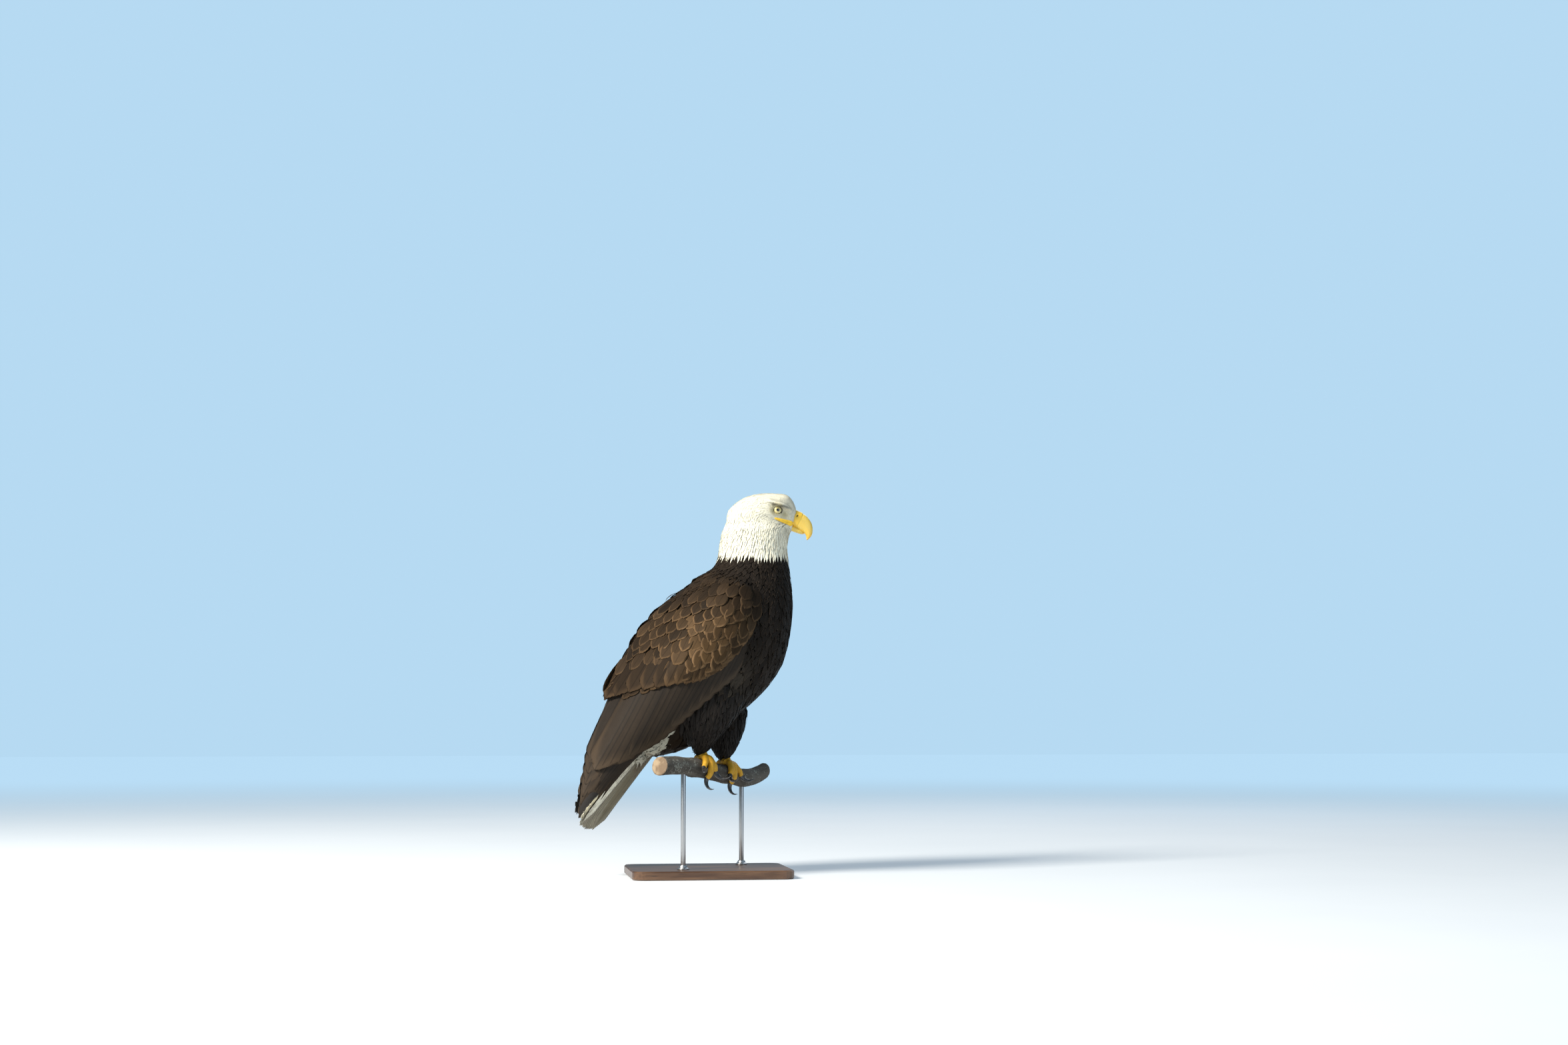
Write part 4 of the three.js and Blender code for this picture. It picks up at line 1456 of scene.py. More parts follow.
@dataclass
class Coat:
    """Lays feathers on a surface and joins them into pieces."""

    form: Form
    line: CentreLine
    markings: Markings
    rng: np.random.Generator
    total: int = 0
    least_chord: float = 0.86
    farthest_tip: float = 0.007

    def laid(self, surface: Surface, quills: Quills, vane: Vane) -> tuple[Points, Points, Points]:
        """Leads each feather's shaft over the surface.

        Args:
            surface: what it lies on.
            quills: the feathers.
            vane: their build.

        Returns:
            The shafts' points, directions and normals, as rows of rows.
        """
        steps = vane.steps()
        point, normal, _ = surface.nearest(quills.roots)
        way = unit(quills.ways - normal * (quills.ways * normal).sum(1, keepdims=True))
        spots, ways, normals = [point], [way], [normal]
        for before, after in zip(steps, steps[1:]):
            stride = ((after - before) * quills.lengths)[:, None]
            ahead = point + way * stride
            found, facing, _ = surface.nearest(ahead)
            drawn = unit(found - point)
            turned = unit(way + (drawn - way) * vane.cling)
            sharp = (turned * way).sum(1, keepdims=True) < math.cos(vane.bend)
            turned = np.where(sharp, unit(way + (turned - way) * 0.3), turned)
            point = point + turned * stride
            normal = unit(facing - turned * (facing * turned).sum(1, keepdims=True))
            normal = np.where(sharp, unit(normals[-1] * 0.7 + normal * 0.3), normal)
            way = turned
            spots.append(point)
            ways.append(way)
            normals.append(normal)
        return tuple(np.stack(rows, 1) for rows in (spots, ways, normals))

    def _halves(self, widths: Points, vane: Vane) -> Points:
        """Half of each feather's width at each step, a little uneven."""
        half = widths[:, None] / 2 * vane.outline.spread(vane.steps())[None]
        return half * self.rng.uniform(1 - vane.waver, 1 + vane.waver, half.shape)

    def grown(self, surface: Surface, quills: Quills, vane: Vane) -> Grown:
        """Shapes the vanes round their shafts, and leaves out feathers that curl up or stray.

        Args:
            surface: what they lie on.
            quills: the feathers.
            vane: their build.

        Returns:
            The shaped feathers.
        """
        spots, ways, normals = self.laid(surface, quills, vane)
        tips = spots[:, -1]
        straight = np.linalg.norm(tips - spots[:, 0], axis=1) > self.least_chord * quills.lengths
        straight &= np.linalg.norm(surface.nearest(tips)[0] - tips, axis=1) < self.farthest_tip
        quills = quills.chosen(straight)
        spots, ways, normals = spots[straight], ways[straight], normals[straight]
        steps = vane.steps()
        count = len(quills.roots)
        sides = np.cross(ways, normals)
        across = np.linspace(-1, 1, vane.columns + 1)
        half = self._halves(quills.widths, vane)
        height = -vane.sink + vane.rise * steps
        if quills.lifts is not None:
            height = height[None] + quills.lifts[:, None]
        height = np.broadcast_to(height, (count, len(steps))) + self.rng.uniform(0, 0.0004, (count, 1))
        back = vane.tip_arc * (steps**3)[None, :, None] * (across**2)[None, None]
        fray = self.rng.normal(0, vane.fray, (count, len(steps), len(across)))
        back = back + fray * (steps**2)[None, :, None]
        back = back * quills.lengths[:, None, None]
        arch = vane.camber * half[:, :, None] * (1 - across**2)[None, None]
        ridge = vane.shaft * (1 - 0.7 * steps)[None, :, None] * (np.abs(across) < 0.01)[None, None]
        top = (
            spots[:, :, None]
            + sides[:, :, None] * (half[:, :, None] * across)[..., None]
            - ways[:, :, None] * back[..., None]
            + normals[:, :, None] * (height[:, :, None] + arch + ridge)[..., None]
        )
        low = spots + normals * (height + vane.camber * half - vane.thickness)[..., None]
        bodies = np.concatenate([top.reshape(count, -1, 3), low], 1)
        wide = np.broadcast_to(normals[:, :, None], top.shape).reshape(count, -1, 3)
        tints = quills.tints
        if tints is None:
            tints = self.markings.colours(quills.roots, quills.regions)
        return Grown(bodies, np.concatenate([wide, normals], 1), quills.roots, tints)

    def drawn(self, sheet: Sheet, blades: Blades, vane: Vane) -> Grown:
        """Shapes long feathers that fit a sheet exactly, one above the other.

        Args:
            sheet: what they lie on.
            blades: the feathers.
            vane: their build.

        Returns:
            The shaped feathers.
        """
        steps = vane.steps()
        across = np.linspace(-1, 1, vane.columns + 1)
        count = len(blades.roots)
        gap = blades.tips - blades.roots
        lengths = np.linalg.norm(gap, axis=1)
        way = unit(gap)
        side = np.stack([way[:, 1], -way[:, 0]], 1)
        half = self._halves(blades.widths, vane)
        bow = np.reshape(blades.bow, (-1, 1)) * lengths[:, None] * (4 * steps * (1 - steps))[None]
        arc = vane.tip_arc * lengths[:, None, None] * (steps**8)[None, :, None] * (across**2)[None, None]
        fray = self.rng.normal(0, vane.fray, (count, len(steps), len(across))) * (steps**4)[None, :, None]
        run = lengths[:, None, None] * (steps[None, :, None] + fray) - arc
        aside = half[:, :, None] * across + bow[:, :, None]
        flat = blades.roots[:, None, None] + way[:, None, None] * run[..., None]
        flat = flat + side[:, None, None] * aside[..., None]
        arch = vane.camber * half[:, :, None] * (1 - across**2)[None, None]
        ridge = vane.shaft * (1 - 0.6 * steps)[None, :, None] * (np.abs(across) < 0.01)[None, None]
        high = blades.lifts[:, None, None] * (0.35 + 0.65 * steps)[None, :, None] + arch + ridge
        normals = sheet.normal(flat)
        top = sheet.point(flat) + normals * high[..., None]
        centre = vane.columns // 2
        low = top[:, :, centre] - normals[:, :, centre] * (vane.thickness + ridge[:, :, centre])[..., None]
        bodies = np.concatenate([top.reshape(count, -1, 3), low], 1)
        lies = np.concatenate([normals.reshape(count, -1, 3), normals[:, :, centre]], 1)
        return Grown(bodies, lies, sheet.point(blades.roots), blades.tints)

    def piece(
        self,
        name: str,
        grown: Grown,
        vane: Vane,
        material: bpy.types.Material,
        edge: float | Points = 0.0,
        patch: float = 0.003,
        shade: float = 0.14,
    ) -> bpy.types.Object:
        """Makes one joined piece of many feathers.

        Args:
            name: the piece's name.
            grown: the shaped feathers.
            vane: their build.
            material: their finish.
            edge: how strongly their rims are paler, for all or for each.
            patch: how large a feather's patch of the map is.
            shade: how much one feather differs from the next.

        Returns:
            The piece.
        """
        bodies = grown.bodies
        count, size = bodies.shape[:2]
        steps, across = vane.steps(), np.linspace(-1, 1, vane.columns + 1)
        local = np.concatenate(
            [
                np.stack(np.meshgrid(across, steps), 2).reshape(-1, 2),
                np.stack([np.zeros(len(steps)), steps], 1),
            ]
        )
        faces = vane.faces()
        loops = np.concatenate([np.array(face) for face in faces])
        sizes = np.array([len(face) for face in faces])
        starts = np.concatenate([[0], np.cumsum(sizes)[:-1]])
        mesh = bpy.data.meshes.new(name)
        mesh.vertices.add(count * size)
        mesh.vertices.foreach_set("co", bodies.astype(np.float32).ravel())
        mesh.loops.add(count * len(loops))
        index = (loops[None] + (np.arange(count) * size)[:, None]).ravel()
        mesh.loops.foreach_set("vertex_index", index.astype(np.int32))
        mesh.polygons.add(count * len(faces))
        first = (starts[None] + (np.arange(count) * len(loops))[:, None]).ravel()
        mesh.polygons.foreach_set("loop_start", first.astype(np.int32))
        mesh.update(calc_edges=True)
        unwrapped = self.line.unwrap(grown.roots)
        spread = (local - np.array([0.0, 0.5])) * np.array([0.5, 1.0]) * patch
        corners = unwrapped[:, None] + spread[loops][None]
        low, high = corners.reshape(-1, 2).min(0), corners.reshape(-1, 2).max(0)
        if patch <= 0.003:
            low, high = np.minimum(low, 0.0), np.maximum(high, 1.0)
        corners = (corners - low) / (high - low) * 0.998 + 0.001
        mesh.uv_layers.new(name="OFBake").data.foreach_set("uv", corners.astype(np.float32).ravel())
        seed = self.rng.random(count)
        vanes = np.concatenate(
            [np.tile(local[None], (count, 1, 1)), np.broadcast_to(seed[:, None, None], (count, size, 1))], 2
        )
        set_attribute(mesh, "vane", "FLOAT_VECTOR", vanes.reshape(-1, 3))
        set_attribute(mesh, "lie", "FLOAT_VECTOR", grown.lies.reshape(-1, 3))
        tint = grown.tints * np.exp(self.rng.normal(0, shade, (count, 1)))
        set_attribute(mesh, "tint", "FLOAT_COLOR", np.repeat(np.clip(tint, 0, 0.93), size, axis=0))
        set_attribute(mesh, "edge", "FLOAT", np.repeat(np.broadcast_to(edge, count), size))
        triangles = int((sizes - 2).sum()) * count
        self.total += triangles
        LOG.info("%s: %d feathers, %d triangles", name, count, triangles)
        return adopt(mesh, name, material)

    def spread(
        self,
        surface: Surface,
        inside: Callable[[Points, Points, Points], Points],
        length: Callable[[Points], Points],
        flow: Callable[[Points], Points],
        plump: float = 0.6,
        exposed: float = 0.42,
        beside: float = 0.62,
        tries: int = 40000,
    ) -> Quills:
        """Spreads feathers evenly over part of a surface, each overlapping the next.

        Args:
            surface: what they grow on.
            inside: tells which places belong, from points, normals and regions.
            length: gives the feathers' length.
            flow: gives the way they lie.
            plump: their width as a share of their length.
            exposed: the share of the length between one and the next behind it.
            beside: the share of the width between one and the next beside it.
            tries: how many places are tried.

        Returns:
            The feathers.
        """
        places = surface.scattered(tries, self.rng, length)
        points, normals, regions = surface.nearest(places)
        keep = inside(points, normals, regions)
        points, normals, regions = points[keep], normals[keep], regions[keep]
        lengths = length(points)
        ways = flow(points)
        ways = unit(ways - normals * (ways * normals).sum(1, keepdims=True))
        sides = np.cross(ways, normals)
        tree = KDTree(len(points))
        for i, point in enumerate(points.tolist()):
            tree.insert(point, i)
        tree.balance()
        alive = np.ones(len(points), dtype=bool)
        chosen = []
        for i in range(len(points)):
            if not alive[i]:
                continue
            chosen.append(i)
            long, wide = lengths[i] * exposed, lengths[i] * plump * beside
            near = np.array([hit[1] for hit in tree.find_range(points[i], max(long, wide))])
            gap = points[near] - points[i]
            reach = (gap @ ways[i] / long) ** 2 + (gap @ sides[i] / wide) ** 2
            alive[near[reach < 1]] = False
        chosen = np.array(chosen)
        lengths = lengths[chosen] * self.rng.uniform(0.88, 1.12, len(chosen))
        turn = self.rng.normal(0, 0.07, (len(chosen), 1))
        ways = unit(ways[chosen] + sides[chosen] * turn)
        return Quills(points[chosen], ways, lengths, lengths * plump, regions[chosen])


# ------------------------------------------------------------------ branch and feet
@dataclass(frozen=True)
class Branch:
    """The cut length of branch, as the frame has it."""

    x: float = 0.010
    height: float = 0.214
    radius: float = 0.0185
    length: float = 0.370
    yaw: float = math.radians(48)
    slope: float = math.radians(-8.5)
    stance: float = 0.084

    @property
    def along(self) -> Vector:
        """The branch's own direction."""
        return Vector((math.cos(self.yaw), math.sin(self.yaw), math.tan(self.slope))).normalized()

    @property
    def front(self) -> Vector:
        """The level direction across the branch, towards the bird's front."""
        return Vector((math.sin(self.yaw), -math.cos(self.yaw), 0.0))

    @property
    def up(self) -> Vector:
        """The direction across the branch that points up."""
        return self.front.cross(self.along)

    def point(self, along: float) -> Vector:
        """A point of the branch's middle line.

        Args:
            along: the distance from the middle of the branch.

        Returns:
            The point.
        """
        low, high = max(0.0, -0.060 - along), max(0.0, along - 0.088)
        bent = -0.8 * low**2 + 2.6 * high**2
        return Vector((self.x, 0.0, self.height + bent)) + self.along * along

    def foot(self, side: Side) -> Vector:
        """The middle of a foot, on top of the branch."""
        return self.point(side.value * self.stance / 2) + self.up * (self.radius + 0.007)


BRANCH = Branch()


@dataclass(frozen=True)
class Toe:
    """One toe and its claw."""

    name: str
    yaw: float
    long: float
    root: float
    tip: float
    claw: float
    wrap: int

    def line(self, side: Side, steps: int) -> list[Vector]:
        """The toe's middle line, wrapped round the branch.

        Args:
            side: the bird's side.
            steps: how many steps it has.

        Returns:
            The line's points.
        """
        lean = math.radians(self.yaw if side is Side.LEFT else -self.yaw)
        made = []
        for i in range(steps + 1):
            s = self.long * i / steps
            along = side.value * BRANCH.stance / 2 - s * math.sin(lean) * 0.9
            radius = BRANCH.radius + self.root + (self.tip - self.root) * i / steps + 0.0004
            turn = s * math.cos(lean) / (radius + 0.002)
            out = BRANCH.up * (radius * math.cos(turn)) + BRANCH.front * (radius * math.sin(turn))
            made.append(BRANCH.point(along) + out)
        return made

    def claw_line(self, side: Side, bend: float = 2.3, turns: int = 5, steps: int = 20) -> list[Vector]:
        """The claw's middle line, going on from the toe and bending to the branch.

        Args:
            side: the bird's side.
            bend: the whole turn, in radians.
            turns: the frame's own number of steps.
            steps: how many steps this line has.

        Returns:
            The line's points.
        """
        toe = self.line(side, turns)
        ahead = (toe[-1] - toe[-2]).normalized()
        made = [toe[-1] - ahead * 0.002]
        for _ in range(turns):
            ahead = Matrix.Rotation(-bend / turns, 3, BRANCH.along * self.wrap) @ ahead
            made.append(made[-1] + ahead * (self.claw * 1.12 / turns))
        return [Vector(curve(made, i / steps)) for i in range(steps + 1)]


TOES = (
    Toe("hallux", 172, 0.038, 0.0080, 0.0064, 0.043, -1),
    Toe("inner", 20, 0.050, 0.0078, 0.0062, 0.039, 1),
    Toe("middle", 0, 0.066, 0.0080, 0.0060, 0.034, 1),
    Toe("outer", -34, 0.052, 0.0072, 0.0056, 0.030, 1),
)


def frames(line: Sequence[Vector], guide: Vector) -> list[tuple[Vector, Vector]]:
    """Two directions across a line at each of its points.

    Args:
        line: the line's points.
        guide: roughly the second direction, at the start.

    Returns:
        A sideways and an upward direction for each point.
    """
    made = []
    up = guide.copy()
    for i in range(len(line)):
        ahead = (line[min(i + 1, len(line) - 1)] - line[max(i - 1, 0)]).normalized()
        up = (up - ahead * up.dot(ahead)).normalized()
        made.append((ahead.cross(up), up.copy()))
    return made


def tube(
    bm: bmesh.types.BMesh,
    line: Sequence[Vector],
    guide: Vector,
    radius: Callable[[float, float], float],
    sides: int = 20,
) -> None:
    """Adds a closed tube along a line.

    Args:
        bm: where it is made.
        line: its middle line.
        guide: which way is up at its start.
        radius: gives the radius from how far along and from the angle from the top.
        sides: the steps round it.
    """
    across = frames(line, guide)
    last = len(line) - 1

    def shape(along: float, around: float) -> Vector:
        """A point of the tube."""
        i = round(along * last)
        side, up = across[i]
        angle = math.tau * around
        reach = radius(along, angle)
        return line[i] + side * (math.sin(angle) * reach) + up * (math.cos(angle) * reach)

    swept(bm, last, sides, shape)


@dataclass
class Feet:
    """The bare yellow skin of the legs and toes."""

    voxel: float = 0.0014
    shank: float = 0.045

    def solid(self, side: Side) -> bpy.types.Mesh:
        """One foot as a smooth closed skin.

        Args:
            side: the bird's side.

        Returns:
            The mesh.
        """
        bm = copy_of(f"tarsus_{side.word}", grow=0.0002)
        for toe in TOES:
            line = toe.line(side, 40)

            def radius(along: float, angle: float, toe: Toe = toe) -> float:
                """The toe's radius: pads beneath, knuckles above, rounded ends."""
                size = toe.root + (toe.tip - toe.root) * along
                below = max(0.0, -math.cos(angle))
                pad = 0.0009 * math.cos(along * math.tau * 3) * (0.35 + below)
                knuckle = 0.0005 * math.cos(along * math.tau * 2.5) * max(0.0, math.cos(angle))
                end = min(1.0, max(0.0, (1 - along) / 0.07)) ** 0.5
                return (size + pad * 0.8 + knuckle) * (0.45 + 0.55 * end) - 0.0003

            tube(bm, line, BRANCH.up, radius, 24)
        return remeshed(finished(bm, f"foot_{side.word}"), self.voxel, 3)

    def height_on(self, points: Points, side: Side) -> Points:
        """How high on its toe or shank each point is.

        Args:
            points: places on the foot.
            side: the bird's side.

        Returns:
            1 on top of the toe to -1 beneath it.
        """
        above = np.zeros(len(points))
        best = np.full(len(points), np.inf)
        foot = BRANCH.foot(side)
        lines = [toe.line(side, 40) for toe in TOES]
        lines.append([foot + Vector((0, 0, self.shank * i / 20)) for i in range(21)])
        for line in lines:
            rows = np.array(line)
            gaps = np.linalg.norm(points[:, None] - rows[None], axis=2)
            index = gaps.argmin(1)
            nearest = gaps[np.arange(len(points)), index]
            out = unit(points - rows[index])
            outward = rows[index] - np.array([BRANCH.point(0)])
            outward -= (outward @ np.array(BRANCH.along))[:, None] * np.array(BRANCH.along)[None]
            high = (out * unit(outward)).sum(1)
            above = np.where(nearest < best, high, above)
            best = np.minimum(best, nearest)
        return above


# ------------------------------------------------------------------ skin
@dataclass
class Skin:
    """The one skin under the coat, with its lids, gape and feet."""

    form: Form
    markings: Markings
    body_depth: float = 0.0036
    head_depth: float = 0.0014
    gape: tuple = (
        (0.064, -0.0150), (0.056, -0.0142), (0.046, -0.0138),
        (0.036, -0.0134), (0.028, -0.0130), (0.020, -0.0124),
    )
    parts: list[tuple[bpy.types.Mesh, Points, Points]] = field(default_factory=list)

    def sunk(self, surface: Surface, mesh: bpy.types.Mesh, depth: float) -> bpy.types.Mesh:
        """Draws a surface inwards by the coat's depth, less where the body is thin.

        Args:
            surface: the surface.
            mesh: its mesh.
            depth: the usual depth.

        Returns:
            A copy of the mesh.
        """
        made = mesh.copy()
        points, normals = surface.points, surface.normals
        thick = np.empty(len(points))
        for i, (point, normal) in enumerate(zip(points.tolist(), normals)):
            start = Vector(point) - Vector(normal) * 1e-4
            hit = surface.tree.ray_cast(start, -Vector(normal), 0.03)
            thick[i] = hit[3] if hit[3] is not None else 0.03
        thin = np.where(surface.regions == Region.TAIL.index, 0.44, 0.3)
        inward = np.minimum(depth, thick * thin)
        moved = points - normals * inward[:, None]
        made.vertices.foreach_set("co", moved.astype(np.float32).ravel())
        return made

    def add(self, mesh: bpy.types.Mesh, tint: Points | Colour, scaly: float = 0.0) -> None:
        """Keeps a part of the skin, with its colour or its vertices' colours, and how scaly it is."""
        count = len(mesh.vertices)
        self.parts.append((mesh, np.broadcast_to(np.array(tint), (count, 3)), np.full(count, scaly)))

    def add_body(self) -> None:
        """Adds the skin of the body and of the head."""
        for surface, mesh, depth in (
            (self.form.body, self.form.body_mesh, self.body_depth),
            (self.form.head, self.form.head_mesh, self.head_depth),
        ):
            made = self.sunk(surface, mesh, depth)
            tint = self.markings.colours(surface.points, surface.regions) * 0.9
            head = in_skull(surface.points)
            bill_root = smooth_step(head[:, 0], 0.0625, 0.0640) * smooth_step(head[:, 2], 0.0120, 0.0080)
            self.add(made, blend_colours(tint, PALETTE.yellow, bill_root))

    def add_feet(self, feet: Feet) -> None:
        """Adds the bare skin of both feet.

        Args:
            feet: what shapes them.
        """
        for side in Side:
            mesh = feet.solid(side)
            points = coordinates(mesh)
            # Painted shade: the undersides of the toes are darker, as they lie in shade.
            beneath = np.clip(-feet.height_on(points, side), 0, 1)
            self.add(mesh, blend_colours(rows_of(PALETTE.leg, len(points)), PALETTE.sole_shade, beneath * 0.5), 1.0)

    def add_lids(self) -> None:
        """Adds the rims of the eyelids, which lie on the eyeballs."""
        for side in Side:

            def shape(along: float, around: float, side: Side = side) -> Vector:
                """A point of the lid's rim: a slim ring, drawn out a little at the front."""
                turn, roll = math.tau * along, math.tau * around
                front, top = math.cos(turn), math.sin(turn)
                open_to = 0.80 + 0.07 * max(0.0, front) ** 6 - 0.07 * max(0.0, top)
                radial = Vector((front, 0.0, top))
                out = Vector((0.0, math.cos(open_to), 0.0)) + radial * math.sin(open_to)
                wide = 0.0019 * (1 + 0.30 * max(0.0, top))
                base = Vector(EYE_CENTRE) + out * (EYE_RADIUS + 0.0002)
                spot = base + out * (0.0010 * math.cos(roll)) + radial * (wide * math.sin(roll))
                return skull(spot.x, spot.y * side.value, spot.z)

            bm = bmesh.new()
            swept(bm, 48, 12, shape)
            self.add(finished(bm, "lid"), PALETTE.lid)

    def add_gape(self, surface: Surface) -> None:
        """Adds the fleshy yellow corners of the mouth, back to below the eyes.

        Args:
            surface: the head's outer form.
        """
        for side in Side:
            for drop, size in ((0.0018, 1.0), (-0.0026, 0.9)):
                line = []
                for i in range(31):
                    x, z = curve(self.gape, i / 30)
                    aim = skull(x, side.value * 0.06, z + drop * (1 - 0.75 * i / 30))
                    hit = surface.tree.ray_cast(aim, Vector((0, -side.value, 0)), 0.1)
                    line.append((hit[0] if hit[0] else aim) - Vector((0, side.value * 0.0010, 0)))
                bm = bmesh.new()

                def radius(along: float, _angle: float, size: float = size) -> float:
                    """The lip's radius, thinner towards the ear."""
                    ends = 0.3 + 0.7 * min(1.0, along * 12, (1 - along) * 9)
                    return size * (0.0041 - 0.0029 * along) * ends

                tube(bm, line, Vector((0, side.value, 0)), radius, 12)
                self.add(finished(bm, "gape"), PALETTE.gape)

    def build(self, finish: bpy.types.Material) -> bpy.types.Object:
        """Joins every part into the one skin.

        Args:
            finish: the skin's material.

        Returns:
            The piece.
        """
        bm = bmesh.new()
        for mesh, *_ in self.parts:
            bm.from_mesh(mesh)
        joined = finished(bm, "skin")
        for name in list(joined.attributes.keys()):
            if name in ("tint", "scaly"):
                joined.attributes.remove(joined.attributes[name])
        set_attribute(joined, "tint", "FLOAT_COLOR", np.concatenate([part[1] for part in self.parts]))
        set_attribute(joined, "scaly", "FLOAT", np.concatenate([part[2] for part in self.parts]))
        piece = adopt(joined, "skin", finish)
        nodes = [name for region in REGIONS for name in region.value]
        nodes += [f"tarsus_{side.word}" for side in Side]
        nodes += [f"toe_{toe.name}_{side.word}" for side in Side for toe in TOES]
        return enlist(piece, "foot_skin", *nodes)


# ------------------------------------------------------------------ bill, eyes and claws
@dataclass
class Bill:
    """The hooked bill."""

    upper: tuple = (
        (0.0520, -0.0004, 2, 0.0165, 0.0158),
        (0.0580, -0.0010, 0, 0.0170, 0.0155),
        (0.0700, -0.0025, -4, 0.0185, 0.0145),
        (0.0835, -0.0065, -20, 0.0182, 0.0126),
        (0.0950, -0.0135, -42, 0.0152, 0.0098),
        (0.1024, -0.0225, -66, 0.0099, 0.0066),
        (0.1052, -0.0305, -84, 0.0054, 0.0038),
        (0.1036, -0.0394, -100, 0.0010, 0.0009),
    )
    lower: tuple = (
        (0.0480, -0.0205, -6, 0.0065, 0.0125),
        (0.0660, -0.0220, -8, 0.0060, 0.0115),
        (0.0800, -0.0246, -10, 0.0050, 0.0090),
        (0.0890, -0.0266, -8, 0.0036, 0.0060),
        (0.0940, -0.0274, 0, 0.0014, 0.0022),
    )
    cere_front: float = 0.37
    nostril: tuple[float, float] = (0.300, 0.175)

    def build(self, finish: bpy.types.Material) -> None:
        """Makes the two halves of the bill.

        Args:
            finish: the horn's material.
        """
        for name, stations, rings, sides in (("upper", self.upper, 150, 110), ("lower", self.lower, 40, 40)):
            bm = bmesh.new()
            cere = bm.verts.layers.float.new("cere")
            reach = bm.verts.layers.float.new("reach")
            pit = bm.verts.layers.float.new("pit")
            is_upper = name == "upper"
            grid = bmesh.ops.create_grid(bm, x_segments=sides, y_segments=rings, size=0.5)["verts"]
            for vert in grid:
                along, around = vert.co.y + 0.5, vert.co.x + 0.5
                vert.co, soft, hole = self._point(stations, along, math.tau * around, is_upper)
                vert[cere], vert[reach], vert[pit] = soft, along, hole
            bmesh.ops.remove_doubles(bm, verts=bm.verts, dist=1e-6)
            bmesh.ops.holes_fill(bm, edges=[edge for edge in bm.edges if edge.is_boundary], sides=0)
            bmesh.ops.recalc_face_normals(bm, faces=bm.faces)
            modelled(bm, f"{name}_bill", finish, "bill", f"bill_{name}")

    def _point(self, stations: tuple, along: float, angle: float, is_upper: bool) -> tuple:
        """A point of the bill, with how much it is cere and nostril.

        Args:
            stations: the half's sections.
            along: how far along it is.
            angle: the angle from the ridge.
            is_upper: whether this is the upper half.

        Returns:
            The point, the share of cere and the depth of the nostril.
        """
        x, z, turn, tall, half = curve(stations, along)
        turn = math.radians(turn)
        up, side = math.cos(angle), math.sin(angle)
        if is_upper:
            # A narrow ridge above, full cheeks, and a sharp cutting edge below.
            side = math.copysign(abs(side) ** 0.92, side) * (1 - 0.10 * max(0.0, up))
            up = up if up > 0 else up * (1.0 - 0.22 * (1 - abs(side)) * (1 - along))
            wave = 0.0009 * math.sin((along - 0.32) * 9) * max(0.0, -up) * abs(side)
        else:
            wave = 0.0
        soft = 1 - smooth_step(np.array(along), self.cere_front, self.cere_front + 0.02) if is_upper else 0.0
        soft = float(soft)
        swell = 1 + 0.045 * soft * (0.5 + 0.5 * max(0.0, up))
        turned = angle if angle < math.pi else math.tau - angle
        hole = 0.0
        if is_upper:
            # The nostril is a slit that leans back; the cere ends in a shallow groove.
            ahead, around = (along - self.nostril[0]) * 0.085, (turned / math.tau - self.nostril[1]) * 0.100
            long, short = around * 0.88 - ahead * 0.47, around * 0.47 + ahead * 0.88
            hole = math.exp(-((long / 0.0032) ** 2) - (short / 0.00115) ** 2)
            swell -= 0.022 * math.exp(-(((along - self.cere_front - 0.018) / 0.010) ** 2))
        size = swell * (1 - 0.20 * hole)
        out = half * side * size
        rise = tall * up * size + wave
        spot = skull(x - math.sin(turn) * rise, out, z + math.cos(turn) * rise)
        return spot, soft, hole


@dataclass
class Eyes:
    """The two eyeballs, each with a clear bulge over its iris."""

    iris: float = 0.76
    bulge: float = 0.0011
    tilt: float = 0.10

    def build(self, finish: bpy.types.Material) -> None:
        """Makes both eyes.

        Args:
            finish: the eye's material.
        """
        for side in Side:
            bm = bmesh.new()
            bmesh.ops.create_uvsphere(bm, u_segments=64, v_segments=48, radius=EYE_RADIUS - 0.0001)
            gaze = bm.verts.layers.float.new("gaze")
            rays = bm.verts.layers.float_vector.new("rays")
            aim = Vector((self.tilt, side.value, -0.02)).normalized()
            turn = aim.to_track_quat("Z", "Y").to_matrix()
            for vert in bm.verts:
                polar = math.acos(max(-1.0, min(1.0, vert.co.z / vert.co.length)))
                around = math.atan2(vert.co.y, vert.co.x)
                vert[gaze] = polar / self.iris
                vert[rays] = Vector((math.cos(around), math.sin(around), polar * 0.5))
                swell = max(0.0, 1 - (polar / self.iris) ** 2)
                vert.co += vert.co.normalized() * (self.bulge * swell)
                spot = turn @ vert.co
                centre = Vector((EYE_CENTRE[0], EYE_CENTRE[1] * side.value, EYE_CENTRE[2]))
                vert.co = skull(*(centre + spot))
            bmesh.ops.recalc_face_normals(bm, faces=bm.faces)
            modelled(bm, f"eyeball_{side.word}", finish, "eye", f"eye_{side.word}")


@dataclass
class Claws:
    """The eight black claws."""

    root: float = 0.0057

    def build(self, finish: bpy.types.Material) -> None:
        """Makes every claw.

        Args:
            finish: the horn's material.
        """
        for side in Side:
            for toe in TOES:
                line = toe.claw_line(side)
                bm = bmesh.new()

                def radius(along: float, angle: float) -> float:
                    """The claw's radius: a keen ridge above and a groove beneath."""
                    size = self.root * (1 - 0.95 * along**1.25)
                    groove = 0.16 * max(0.0, -math.cos(angle)) ** 6
                    return size * (1 - groove) * (1 - 0.10 * abs(math.sin(angle)))

                tube(bm, line, BRANCH.up, radius, 20)
                place = f"{toe.name}_{side.word}"
                modelled(bm, f"talon_{place}", finish, "claw", f"claw_{place}")


